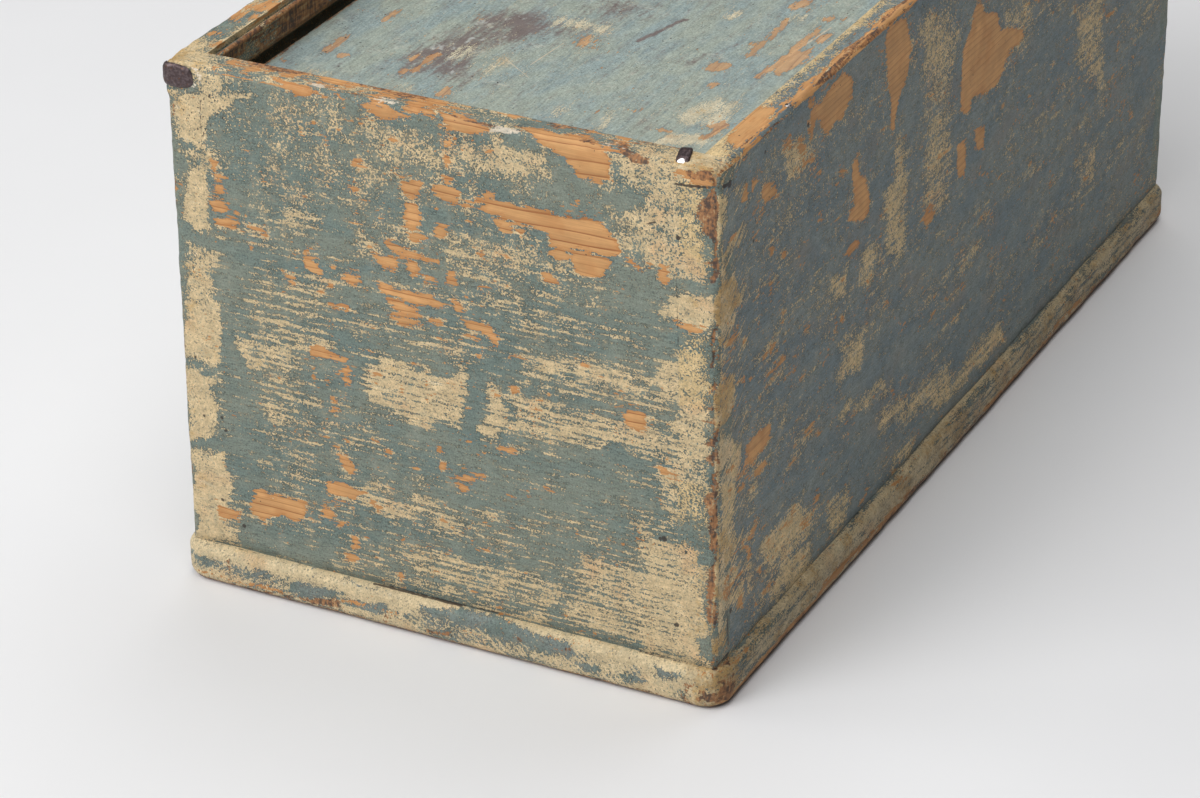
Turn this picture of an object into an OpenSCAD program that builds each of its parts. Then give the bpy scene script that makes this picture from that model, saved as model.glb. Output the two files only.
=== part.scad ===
// Antique spice box of painted pine. Four dovetailed walls stand on a base board with
// worn round edges, and a shrunken lid slides in grooves in the long sides, out over a
// lower back board. Inside, half-lapped dividers make compartments for the spices.
// Millimetres. X runs across the box, Y from its front end (-Y) to its back end (+Y),
// and Z up from the surface that it stands on. The origin is the middle of the underside.

/* [Box] */
// Width over the two long sides
box_w = 180; // [150:1:220]
// Length over the two end boards
box_l = 377; // [320:1:440]
// Height of the walls above the base board
wall_h = 161; // [140:1:190]
// Radius that wear has given the outer corners and the outer edge of the rim
worn_r = 2.5; // [1.5:0.1:4]

/* [Base board] */
// Thickness of the base board
base_t = 13.5; // [10:0.5:20]
// How far the base board stands proud of the walls all round
base_overhang = 3; // [2:0.5:8]
// Radius of the base board's four corners, seen from above
base_corner_r = 9; // [6:0.5:12]
// Radius of the base board's upper edge
base_top_r = 3.5; // [1:0.5:4.5]
// Radius of the base board's lower edge
base_bottom_r = 4; // [1:0.5:5]

/* [Walls] */
// Thickness of the long sides
side_t = 12.5; // [12:0.1:18]
// Thickness of the two end boards
end_t = 9.5; // [8:0.1:16]

/* [Dovetails] */
// Height of a tail where it shows on an end board
tail_h = 23; // [16:0.5:30]
// Height of an end board's pin between two tails, on the same face
pin_h = 24.5; // [12:0.5:30]
// Height of the lowest pin
bottom_pin_h = 38; // [20:0.5:50]
// Least height of the highest pin
top_pin_h = 4; // [2:0.5:5]
// How much a tail narrows on each of its two cheeks, towards the shoulder
tail_flare = 1.4; // [0.5:0.1:2]

/* [Rim moulding] */
// Width of the flat top of a side, its worn edge included
rim_flat = 9.2; // [8:0.1:9.8]
// Thickness of a side above the lid groove, over its bead
lip_t = 11; // [10.5:0.1:11.8]
// Radius of the bead along the inner edge of the rim
bead_r = 1; // [0.5:0.1:1.2]
// Depth of the bead's centre below the rim
bead_drop = 2.9; // [2:0.1:4]
// How far the bead stands proud of the lip's face
bead_relief = 0.3; // [0.1:0.1:0.6]

/* [Lid] */
// Depth of the lid groove's upper edge below the rim
lip_h = 10.5; // [7:0.5:14]
// Depth of the lid groove in a side
groove_d = 5; // [4.5:0.1:7]
// Depth of the lid groove in the front board
front_groove_d = 4; // [2:0.1:5]
// Thickness of the lid's edges, which run in the grooves
tongue_t = 6; // [4:0.1:8]
// How much thicker the lid is between its edges, on its underside
panel_t = 3; // [1:0.1:5]
// Height of the gap that the worn lid leaves above itself in the groove
lid_slack = 2.9; // [1:0.1:5]
// Width that the lid has lost by shrinking, all of it at its left edge
lid_shrink = 3.7; // [0:0.1:4]
// Width of the worn slope along the lid's two long upper edges
lid_slope_w = 2.4; // [1:0.1:5]
// Height of that slope
lid_slope_h = 0.5; // [0.2:0.1:1.5]
// Radius of the half-moon thumb notch at the lid's back end
notch_r = 13; // [10:0.5:18]
// Depth of the thumb notch at its deep side
notch_d = 3.2; // [1.5:0.1:4.5]
// Distance from the notch's deep side to the lid's back end
notch_inset = 16; // [10:1:40]

/* [Dividers] */
// Thickness of the dividers
divider_t = 6; // [4:0.5:8]
// Depth of the housings that hold the dividers' ends
housing_d = 3; // [2:0.1:4]

/* [Nails] */
// Thickness of the forged heads at the two front corners
head_t = 1.2; // [0.8:0.1:2]
// Side of those nails' square shanks
forged_shank = 2.4; // [2:0.1:2.8]
// Length of those nails' shanks
forged_l = 28; // [15:1:40]
// Width of the head that is hammered round the left corner, on the front
corner_head_w = 10; // [8:0.5:14]
// Height of that head
corner_head_h = 7; // [5:0.5:9]
// Distance from that head's upper edge to the rim
corner_head_drop = 0.2; // [0.1:0.1:1]
// Width of the long head on the front board's top edge
top_head_w = 4.5; // [3:0.1:6]
// Length of the long head, from the front face over the edge
top_head_l = 9.4; // [6:0.1:12]
// Distance from the right face to the middle of the long head
top_head_inset = 13.2; // [10:0.1:24]
// Turn of the long head away from the length of the box, in degrees
top_head_turn = 17; // [0:1:25]
// Head radius of the small nail in the right rim
rim_nail_head_r = 1; // [0.8:0.1:1.6]
// Shank radius of the small nail
rim_nail_r = 0.6; // [0.5:0.1:0.7]
// Length of the small nail
rim_nail_l = 20; // [8:1:30]
// Distance from the right face to the small nail
rim_nail_inset = 2; // [1.5:0.1:5]
// Distance from the front face to the small nail
rim_nail_y = 49.6; // [20:0.1:150]
// How far the small nail's head stands proud of the rim
rim_nail_proud = 0.3; // [0.1:0.1:0.6]
// Head radius of the nails under the base board
base_nail_head_r = 3; // [2:0.1:4]
// Head thickness of those nails
base_nail_head_t = 1.2; // [0.8:0.1:2]
// Shank radius of those nails
base_nail_r = 1.1; // [0.8:0.1:1.6]
// How far those nails go into the walls
base_nail_grip = 18; // [10:1:25]
// How far their heads are sunk above the underside
base_nail_sink = 0.3; // [0.1:0.1:1]
// Number of those nails along each long side
side_nails = 3; // [2:1:6]
// Number of those nails along each end board
end_nails = 2; // [1:1:4]

/* [Fits] */
// Gap along the cheeks of the dovetails
joint_gap = 0.12; // [0.05:0.01:0.3]
// Gap under the lid's edges in the grooves
lid_rest_gap = 0.15; // [0.1:0.05:0.5]
// Gap at the side and at the end of the lid's edges
lid_side_gap = 0.3; // [0.2:0.05:0.6]
// Gap between the lid's underside and the top of the back board
lid_back_gap = 0.4; // [0.3:0.05:1]
// Gap between the lid's underside and the tops of the dividers
lid_divider_gap = 0.6; // [0.3:0.05:2]
// Gap between the thick middle of the lid and the walls that it runs between
panel_gap = 1; // [0.5:0.1:3]
// Gap round a divider in its housings and laps
divider_gap = 0.2; // [0.1:0.05:0.4]

/* [Hidden] */

$fn = 64;
// How far a cutting shape runs past the face that it cuts
cut = 2;

// Inside of the box, between its walls
inner_w = box_w - 2 * side_t;
inner_l = box_l - 2 * end_t;
rim_z = base_t + wall_h;

// Heights above the base board of the lid groove, the lid and what lies under it
groove_h = tongue_t + lid_slack + lid_rest_gap;
groove_z = wall_h - lip_h - groove_h;
lid_top_z = groove_z + lid_rest_gap + tongue_t;
lid_under_z = lid_top_z - tongue_t - panel_t;
back_h = lid_under_z - lid_back_gap;
divider_h = lid_under_z - lid_divider_gap;

// The lid lies hard over to the right, so all that it has lost shows at its left
lid_bite = groove_d - lid_side_gap;
lid_w = inner_w + 2 * lid_bite - lid_shrink;
lid_right_x = inner_w / 2 + lid_bite;
lid_front_y = -inner_l / 2 - front_groove_d + lid_side_gap;
lid_back_y = box_l / 2;

// The cross dividers share the inside of the box evenly
cross_pitch = (inner_l + divider_t) / 4;
cross_y = [-cross_pitch, 0, cross_pitch];

// How many tails fit on a corner of height h
function tail_count(h) = floor((h - bottom_pin_h - top_pin_h - tail_h) / (tail_h + pin_h)) + 1;

// Height of the middle of tail number i above the base board
function tail_z(i) = bottom_pin_h + tail_h / 2 + i * (tail_h + pin_h);

// Cuts a round of radius r from a section's outer corner, which is at (x, z). up is 1 for
// an upper corner and -1 for a lower one.
module corner_cut(x, z, r, up) {
    translate([x - r, z - up * r])
        scale([1, up])
            difference() {
                square(r + cut);
                circle(r);
            }
}

// Section through the rim of a soft block, from the upright corner's axis outwards
module rim_section(h, plan_r, top_r, bottom_r) {
    difference() {
        square([plan_r, h]);
        if (top_r > 0) corner_cut(plan_r, h, top_r, 1);
        if (bottom_r > 0) corner_cut(plan_r, 0, bottom_r, -1);
    }
}

// A block with round upright corners, whose top and bottom edges are rounded too
module soft_block(w, l, h, plan_r, top_r, bottom_r) {
    core_w = w - 2 * plan_r;
    core_l = l - 2 * plan_r;
    translate([-core_w / 2, -core_l / 2, 0]) cube([core_w, core_l, h]);
    for (side = [0 : 3]) {
        reach = (side % 2 == 0 ? core_w : core_l) / 2;
        run = side % 2 == 0 ? core_l : core_w;
        rotate([0, 0, 90 * side])
            translate([reach, 0, 0])
                rotate([90, 0, 0])
                    linear_extrude(height = run, center = true)
                        rim_section(h, plan_r, top_r, bottom_r);
    }
    for (x = [-1, 1], y = [-1, 1])
        translate([x * core_w / 2, y * core_l / 2, 0])
            rotate_extrude() rim_section(h, plan_r, top_r, bottom_r);
}

// The outside of the four walls together, swollen by grow on every face but the lowest
module wall_block(grow = 0) {
    translate([0, 0, base_t])
        soft_block(box_w + 2 * grow, box_l + 2 * grow, wall_h + grow,
                   worn_r + grow, worn_r + grow, 0);
}

// A tail seen from the side, between two depths behind the end face, each cheek moved
// out by gap
module tail_outline(from, to, gap) {
    narrowing = tail_flare / end_t;
    half_from = tail_h / 2 - from * narrowing + gap;
    half_to = tail_h / 2 - to * narrowing + gap;
    polygon([[from, -half_from], [from, half_from], [to, half_to], [to, -half_to]]);
}

// The tails of a long side at one end of a corner of height h. side is -1 for the left
// and 1 for the right, and end is -1 for the front and 1 for the back.
module tails(side, end, h, from, to, gap) {
    for (i = [0 : tail_count(h) - 1])
        translate([side * (box_w - side_t) / 2, end * box_l / 2, base_t + tail_z(i)])
            rotate([90, 0, 90])
                linear_extrude(height = side_t + 2 * gap, center = true)
                    scale([-end, 1]) tail_outline(from, to, gap);
}

// What the planes take off a side: the lid groove, the face of the lip, and the step that
// leaves a bead. x runs inwards from the outer face and y up from the base board.
module plough_section() {
    step_z = wall_h - bead_drop;
    lip_face = lip_t - bead_relief;
    difference() {
        union() {
            translate([side_t - groove_d, groove_z]) square([groove_d + cut, groove_h]);
            translate([lip_face, groove_z]) square([side_t - lip_face + cut, step_z - groove_z]);
            translate([rim_flat, step_z]) square([side_t - rim_flat + cut, bead_drop + cut]);
        }
        translate([lip_t - bead_r, step_z]) circle(bead_r);
    }
}

// Housings in all four walls for the dividers' ends, open at their tops
module housings() {
    wide = divider_t + 2 * divider_gap;
    across = inner_w + 2 * housing_d;
    along = inner_l + 2 * housing_d;
    for (y = cross_y)
        translate([-across / 2, y - wide / 2, base_t - cut])
            cube([across, wide, groove_z + 2 * cut]);
    translate([-wide / 2, -along / 2, base_t - cut])
        cube([wide, along, divider_h + divider_gap + cut]);
}

// A long side. side is -1 for the left and 1 for the right.
module long_side(side) {
    difference() {
        intersection() {
            wall_block();
            union() {
                translate([side * (box_w - side_t) / 2 - side_t / 2, -inner_l / 2, base_t])
                    cube([side_t, inner_l, wall_h]);
                // Above the back board the side runs on to the back face
                translate([side * (box_w - side_t) / 2 - side_t / 2, 0, base_t + back_h])
                    cube([side_t, box_l / 2, wall_h - back_h]);
                tails(side, -1, wall_h, 0, end_t + cut, 0);
                tails(side, 1, back_h, 0, end_t + cut, 0);
            }
        }
        translate([side * box_w / 2, -inner_l / 2, base_t])
            rotate([90, 0, 0])
                scale([-side, 1, -1])
                    linear_extrude(height = box_l) plough_section();
        housings();
        base_nail_row();
    }
}

// An end board of height h. end is -1 for the front and 1 for the back.
module end_board(end, h) {
    difference() {
        intersection() {
            wall_block();
            translate([-box_w / 2, end * (box_l - end_t) / 2 - end_t / 2, base_t])
                cube([box_w, end_t, h]);
        }
        for (side = [-1, 1]) tails(side, end, h, -cut, end_t + cut, joint_gap);
        housings();
        base_nail_row();
    }
}

// A cross divider at y, its lower half slotted to go over the long divider
module cross_divider(y) {
    across = inner_w + 2 * (housing_d - divider_gap);
    lap = divider_t + 2 * divider_gap;
    difference() {
        translate([-across / 2, y - divider_t / 2, base_t])
            cube([across, divider_t, divider_h]);
        translate([-lap / 2, y - divider_t, base_t - cut])
            cube([lap, 2 * divider_t, divider_h / 2 + cut]);
    }
}

// A nail up through the base board. Its hole is the same, open at the underside.
module base_nail(start) {
    translate([0, 0, start])
        cylinder(r = base_nail_head_r, h = base_nail_sink + base_nail_head_t - start);
    translate([0, 0, base_nail_sink])
        cylinder(r = base_nail_r, h = base_t + base_nail_grip - base_nail_sink);
}

// All the nails through the base board, or with a start below 0 their holes
module base_nail_row(start = -cut) {
    side_x = (box_w - side_t) / 2;
    end_y = (box_l - end_t) / 2;
    side_pitch = inner_l / side_nails;
    end_pitch = inner_w / end_nails;
    for (x = [-side_x, side_x], i = [0 : side_nails - 1])
        translate([x, (i + 0.5) * side_pitch - inner_l / 2, 0]) base_nail(start);
    for (y = [-end_y, end_y], i = [0 : end_nails - 1])
        translate([(i + 0.5) * end_pitch - inner_w / 2, y, 0]) base_nail(start);
}

// Where a shape lies against the walls' outside, this is a skin of iron hammered on it
module hammered_skin() {
    difference() {
        intersection() {
            wall_block(head_t);
            children();
        }
        wall_block();
    }
}

// A square shank that runs down from inside the iron skin
module forged_bar() {
    translate([-forged_shank / 2, -forged_shank / 2, -forged_l])
        cube([forged_shank, forged_shank, forged_l + head_t / 2]);
}

// The nail hammered round the left corner goes through the front board into the side
module corner_nail() {
    head_top = rim_z - corner_head_drop;
    hammered_skin()
        translate([-box_w / 2 - head_t, -box_l / 2 - head_t, head_top - corner_head_h])
            cube([head_t + corner_head_w, head_t + worn_r, corner_head_h]);
    translate([(corner_head_w - box_w) / 2, -box_l / 2, head_top - corner_head_h / 2])
        rotate([90, 0, 0])
            forged_bar();
}

// The nail with the long head goes down into the front board, in front of its groove
module edge_nail() {
    x = box_w / 2 - top_head_inset;
    hammered_skin()
        translate([x, (top_head_l - box_l) / 2, rim_z - worn_r])
            rotate([0, 0, top_head_turn])
                translate([-top_head_w / 2, -top_head_l / 2, 0])
                    cube([top_head_w, top_head_l, worn_r + head_t]);
    translate([x, (end_t - front_groove_d - box_l) / 2, rim_z])
        forged_bar();
}

// The small round nail, its head just proud of the rim
module small_nail() {
    head_h = 2 * rim_nail_proud;
    translate([box_w / 2 - rim_nail_inset, rim_nail_y - box_l / 2, rim_z + rim_nail_proud]) {
        translate([0, 0, -head_h]) cylinder(r = rim_nail_head_r, h = head_h);
        translate([0, 0, -rim_nail_l]) cylinder(r = rim_nail_r, h = rim_nail_l);
    }
}

module base_board() {
    color("tan")
        difference() {
            soft_block(box_w + 2 * base_overhang, box_l + 2 * base_overhang, base_t,
                       base_corner_r, base_top_r, base_bottom_r);
            base_nail_row();
        }
}

module front_board() {
    color("cadetblue")
        difference() {
            end_board(-1, wall_h);
            // The lid's front end goes into this groove when the box is shut
            translate([-inner_w / 2, -inner_l / 2 - front_groove_d, base_t + groove_z])
                cube([inner_w, front_groove_d + cut, groove_h]);
            corner_nail();
            edge_nail();
        }
}

module back_board() {
    color("cadetblue") end_board(1, back_h);
}

module left_side() {
    color("slategray")
        difference() {
            long_side(-1);
            corner_nail();
        }
}

module right_side() {
    color("slategray")
        difference() {
            long_side(1);
            // The nail with the long head catches the edge of the topmost tail
            edge_nail();
            small_nail();
        }
}

module sliding_lid() {
    lid_t = tongue_t + panel_t;
    // Where the thick middle starts, measured from the lid's right and left edges
    thick_right = lid_bite + panel_gap;
    thick_left = lid_w - lid_bite + lid_shrink - panel_gap;
    ramp = asin(notch_d / notch_r);
    color("lightsteelblue")
        difference() {
            translate([lid_right_x, lid_front_y, base_t + lid_under_z])
                rotate([90, 0, 0])
                    scale([-1, 1, -1])
                        linear_extrude(height = lid_back_y - lid_front_y)
                            polygon([[0, panel_t],
                                     [0, lid_t - lid_slope_h],
                                     [lid_slope_w, lid_t],
                                     [lid_w - lid_slope_w, lid_t],
                                     [lid_w, lid_t - lid_slope_h],
                                     [lid_w, panel_t],
                                     [thick_left, panel_t],
                                     [thick_left, 0],
                                     [thick_right, 0],
                                     [thick_right, panel_t]]);
            // The thick middle stops short of the front board
            translate([-box_w / 2, lid_front_y - cut, base_t + lid_under_z - cut])
                cube([box_w, front_groove_d - lid_side_gap + panel_gap + cut, panel_t + cut]);
            // The front end is cut back at its corners, to go between the sides
            for (side = [-1, 1])
                translate([side * (inner_w / 2 - lid_side_gap + groove_d) - groove_d,
                           lid_front_y - cut, base_t + lid_under_z])
                    cube([2 * groove_d, front_groove_d + cut, lid_t + cut]);
            // Half-moon notch, upright towards the back, with a ramp up towards the front
            translate([0, lid_back_y - notch_inset, base_t + lid_top_z - notch_d])
                intersection() {
                    rotate([-ramp, 0, 0]) cylinder(r = notch_r, h = 2 * notch_d + cut);
                    translate([-notch_r, -2 * notch_r, -cut])
                        cube([2 * notch_r, 2 * notch_r, 3 * notch_d + cut]);
                }
        }
}

module long_divider() {
    along = inner_l + 2 * (housing_d - divider_gap);
    lap = divider_t + 2 * divider_gap;
    color("burlywood")
        difference() {
            translate([-divider_t / 2, -along / 2, base_t])
                cube([divider_t, along, divider_h]);
            // Slots for the cross dividers
            for (y = cross_y)
                translate([-divider_t, y - lap / 2, base_t + divider_h / 2])
                    cube([2 * divider_t, lap, divider_h]);
        }
}

module cross_divider_front() {
    color("burlywood") cross_divider(cross_y[0]);
}

module cross_divider_middle() {
    color("burlywood") cross_divider(cross_y[1]);
}

module cross_divider_back() {
    color("burlywood") cross_divider(cross_y[2]);
}

module base_nails() {
    color("dimgray") base_nail_row(start = base_nail_sink);
}

module front_corner_nail() {
    color("dimgray") corner_nail();
}

module top_corner_nail() {
    color("dimgray") edge_nail();
}

module rim_nail() {
    color("silver") small_nail();
}

base_board();
front_board();
back_board();
left_side();
right_side();
sliding_lid();
long_divider();
cross_divider_front();
cross_divider_middle();
cross_divider_back();
base_nails();
front_corner_nail();
top_corner_nail();
rim_nail();
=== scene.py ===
"""Looks of the antique spice box: layers of worn paint on pine, forged nails, studio light and camera."""
import math
import bmesh
import bpy
import numpy as np
from mathutils import Matrix, Vector


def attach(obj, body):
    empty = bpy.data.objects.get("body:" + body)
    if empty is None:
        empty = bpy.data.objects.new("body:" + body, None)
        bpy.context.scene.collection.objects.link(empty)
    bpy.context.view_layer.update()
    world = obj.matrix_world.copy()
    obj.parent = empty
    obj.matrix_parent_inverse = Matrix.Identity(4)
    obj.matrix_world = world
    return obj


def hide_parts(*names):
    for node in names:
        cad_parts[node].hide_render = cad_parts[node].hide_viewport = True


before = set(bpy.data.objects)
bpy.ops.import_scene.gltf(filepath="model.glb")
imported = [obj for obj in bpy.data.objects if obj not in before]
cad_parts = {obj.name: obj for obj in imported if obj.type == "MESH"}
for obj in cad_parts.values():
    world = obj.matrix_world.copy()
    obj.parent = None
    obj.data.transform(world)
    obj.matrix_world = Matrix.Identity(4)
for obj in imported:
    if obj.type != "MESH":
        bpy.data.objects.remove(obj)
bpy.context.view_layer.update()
MM = 0.001

# The walls' outside, in mm: half the width, half the length, foot and rim
HALF_W, HALF_L, FOOT, RIM = 90.0, 188.5, 13.5, 174.5
# Thickness of the sides and of the ends, and how far the base board stands proud of them
SIDE_T, END_T, PROUD = 12.5, 9.5, 3.0
# Edges and top of the lid, the gaps of the dovetails, and how far in the walls' arrises are worn
LID_LEFT, LID_RIGHT, LID_TOP, JOINT_GAP, WORN_R = -78.5, 82.2, 161.1, 0.12, 2.5
# Distances to the borders of wear matter only up to this many mm
FAR = 6.0

# Bare wood on the front, as outlines of x and z in mm
FRONT_WOOD = (
    (14, 148.5, 17.5, 150.5, 22.5, 151, 27.5, 151, 31, 151.5, 35.5, 151, 39.5, 151, 44, 151, 49, 151.5, 53,
     151.5, 55.5, 149, 58.5, 146, 59, 144, 58.5, 142, 54, 141.5, 49, 141.5, 45, 141.5, 40.5, 141, 37.5,
     141.5, 35.5, 144.5, 30.5, 145.5, 25.5, 146, 21, 146.5, 17, 147),
    (43, 140.5, 48, 141, 52, 140.5, 56, 139.5, 55, 137, 53, 134, 48, 133, 45.5, 134.5, 44, 137),
    (37.5, 141, 40.5, 141, 42, 139, 41, 137, 38.5, 137, 36.5, 138.5),
    (27, 177, 34, 177, 40.5, 177, 46.5, 177, 53.5, 176.5, 55, 173.5, 56.5, 170.5, 55.5, 165, 53, 164, 48,
     163.5, 46, 165, 43.5, 167.5, 41, 169.5, 38, 171.5, 34, 173, 30.5, 175),
    (-52.5, 175.5, -48.5, 175.5, -44.5, 175.5, -41, 174.5, -40, 172, -44, 172, -48, 173, -51, 174),
    (-25, 173.5, -20.5, 174, -15.5, 174, -11, 173.5, -8.5, 173, -7.5, 171.5, -11.5, 171, -17.5, 170.5, -22.5,
     172),
    (1, 176, 6, 176, 10.5, 176, 15, 175, 17.5, 174, 16.5, 172, 12.5, 171, 8, 170.5, 4, 171.5),
    (-76, 144.5, -73.5, 144.5, -74, 143, -75, 142, -76, 143),
    (-75, 140, -72, 140.5, -70, 139.5, -73.5, 138),
    (-76, 136, -72.5, 137, -70.5, 136, -72, 134.5, -76, 135),
    (-76, 131.5, -73, 132.5, -71.5, 131.5, -70, 130, -72.5, 128, -75.5, 129),
    (-76, 126.5, -71.5, 127, -67, 126.5, -68, 124.5, -75, 124),
    (-65, 126, -61, 126.5, -57, 125, -61.5, 125),
    (-27, 154.5, -24.5, 155, -23.5, 152.5, -26.5, 152),
    (-11, 151, -8, 152.5, -5.5, 152.5, -4.5, 149.5, -7, 147, -10.5, 147),
    (-1.5, 151, 3, 152.5, 7.5, 152, 8.5, 149, 4, 147.5, 1, 148),
    (2, 155, 5.5, 155, 6.5, 153, 3.5, 153),
    (8.5, 149, 12, 149.5, 12, 147.5, 9.5, 147.5),
    (-10.5, 144.5, -7, 145, -5.5, 142.5, -6, 139, -8, 136.5, -10.5, 139),
    (-11, 135.5, -8, 136, -4, 135, -3, 133.5, -8, 132.5),
    (-0.5, 140, 3, 140.5, 3, 138, 1.5, 135, -1, 137),
    (18.5, 144.5, 22.5, 145.5, 24.5, 144.5, 24.5, 142, 21, 142),
    (25.5, 144.5, 29, 144, 27.5, 141.5),
    (-18, 131, -14, 130, -9, 129.5, -4, 128.5, 0.5, 128.5, -4, 127, -10.5, 127, -16.5, 128),
    (-21.5, 125.5, -15.5, 126, -12, 124, -14, 122, -18.5, 123),
    (-11, 125.5, -6.5, 125.5, -5, 123.5, -8.5, 121.5),
    (-4, 122, 0, 121, -0.5, 119.5, -4, 120.5),
    (-45, 121.5, -43, 119.5, -40, 117, -38.5, 115, -42.5, 114.5, -45, 117.5),
    (-51, 112.5, -48.5, 112.5, -49.5, 108.5),
    (-31, 118, -27, 117.5, -25.5, 115, -29.5, 114.5),
    (-21.5, 116.5, -14.5, 116, -7.5, 115.5, 0.5, 115.5, 3, 114.5, -3, 112.5, -11, 112.5, -19.5, 113.5),
    (-18, 111.5, -11, 111, -6.5, 110, -6.5, 108, -13, 107.5),
    (-16.5, 107, -11.5, 107, -6.5, 105.5, -12.5, 104, -16, 105.5),
    (-3, 109, 0.5, 109.5, 1.5, 107.5, -2.5, 107.5),
    (7, 111.5, 12, 111, 17, 110, 20, 107.5, 19.5, 104, 17, 104.5, 16, 107.5, 10.5, 108),
    (5, 117, 8, 114, 6, 113),
    (13, 134.5, 16, 134, 15, 131.5),
    (34, 131.5, 37.5, 130.5, 39, 129, 35, 129),
    (60.5, 141.5, 64.5, 141.5, 65.5, 139.5, 62, 140),
    (66.5, 142.5, 69, 142, 68, 140),
    (71.5, 141.5, 74.5, 139.5, 74, 136.5, 71.5, 138),
    (75.5, 125.5, 81, 125.5, 86, 125, 81, 122),
    (-45, 90, -41.5, 91.5, -38, 89.5, -39, 87, -44, 86.5),
    (-37, 89, -31, 88.5, -32, 87, -36.5, 87),
    (-35.5, 55, -33, 56.5, -31, 53, -29, 51, -32, 50, -34.5, 52.5),
    (-41, 43.5, -37.5, 45.5, -32, 45.5, -28.5, 43.5, -31.5, 40.5, -36.5, 40.5, -39.5, 39),
    (-66.5, 36, -63, 36.5, -62, 35, -53.5, 36, -48, 35, -48.5, 31, -53.5, 28, -55.5, 30, -60.5, 27.5, -64,
     25, -67, 26.5, -68.5, 29, -66, 32.5),
    (-43, 33, -38.5, 35, -38, 33, -41, 31.5),
    (-32, 29, -30, 28, -29, 24.5, -32, 24.5),
    (-35.5, 21.5, -31.5, 22, -29.5, 21, -33.5, 19),
    (-79.5, 28, -76.5, 26.5, -72, 26, -72.5, 24, -79, 22.5),
    (60.5, 94, 64.5, 93.5, 67, 91.5, 66, 87.5, 62.5, 87.5, 60, 90),
    (46, 105, 49, 104.5, 47.5, 102.5),
    (21, 92.5, 26, 92, 24.5, 90),
    (18.5, 71.5, 23, 72.5, 24.5, 70.5, 19.5, 70),
    (3.5, 56, 7.5, 55.5, 10.5, 53.5, 5.5, 54),
    (70.5, 77, 78.5, 76.5, 77, 74.5, 72, 75),
    (-35, 83.5, -32.5, 83.5, -34, 82),
    (77, 171.5, 79, 173, 82, 171.8, 84, 173, 87, 174.5, 88.2, 172, 88, 169.4, 84, 168.9, 81.5, 169, 80.5,
     170, 78, 169.6),
)
# Rubbed brown and pale chalky chips on the front
FRONT_BROWN = (
    (78.4, 173.2, 80.2, 173, 82, 172, 85.4, 174.3, 87.8, 175, 88, 170.5, 85.5, 169.8, 83.5, 171, 80.5, 170.6,
     79.5, 171.6),
    (58.5, 176, 62.5, 176.4, 67.8, 174.4, 68.3, 172.3, 64.3, 171.8, 60.7, 172.8),
    (46.9, 176.4, 52.7, 177.1, 51.8, 175.6, 47.8, 175),
    (-88, 160.5, -86.5, 161.5, -86, 157, -88, 156),
)
FRONT_CHALK = (
    (17, 172.8, 18.8, 175.4, 22.9, 175.6, 27.9, 175, 27.4, 173.2, 21.9, 172.5),
    (-41.7, 176.3, -39.6, 177.5, -35, 177.5, -34.4, 176.1, -38.4, 175, -41.1, 175.2),
    (-19.2, 175.9, -17.2, 177.3, -12, 177.2, -10.1, 176.1, -14, 175.1, -18, 175.2),
    (53, 176.8, 57.2, 178, 62.5, 177.5, 61.6, 176, 55.4, 175.5),
    (-79.2, 173.5, -77.6, 174, -77.2, 169, -78.6, 167, -80.5, 166.5, -80.6, 167.6, -79, 169.5),
)
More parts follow.
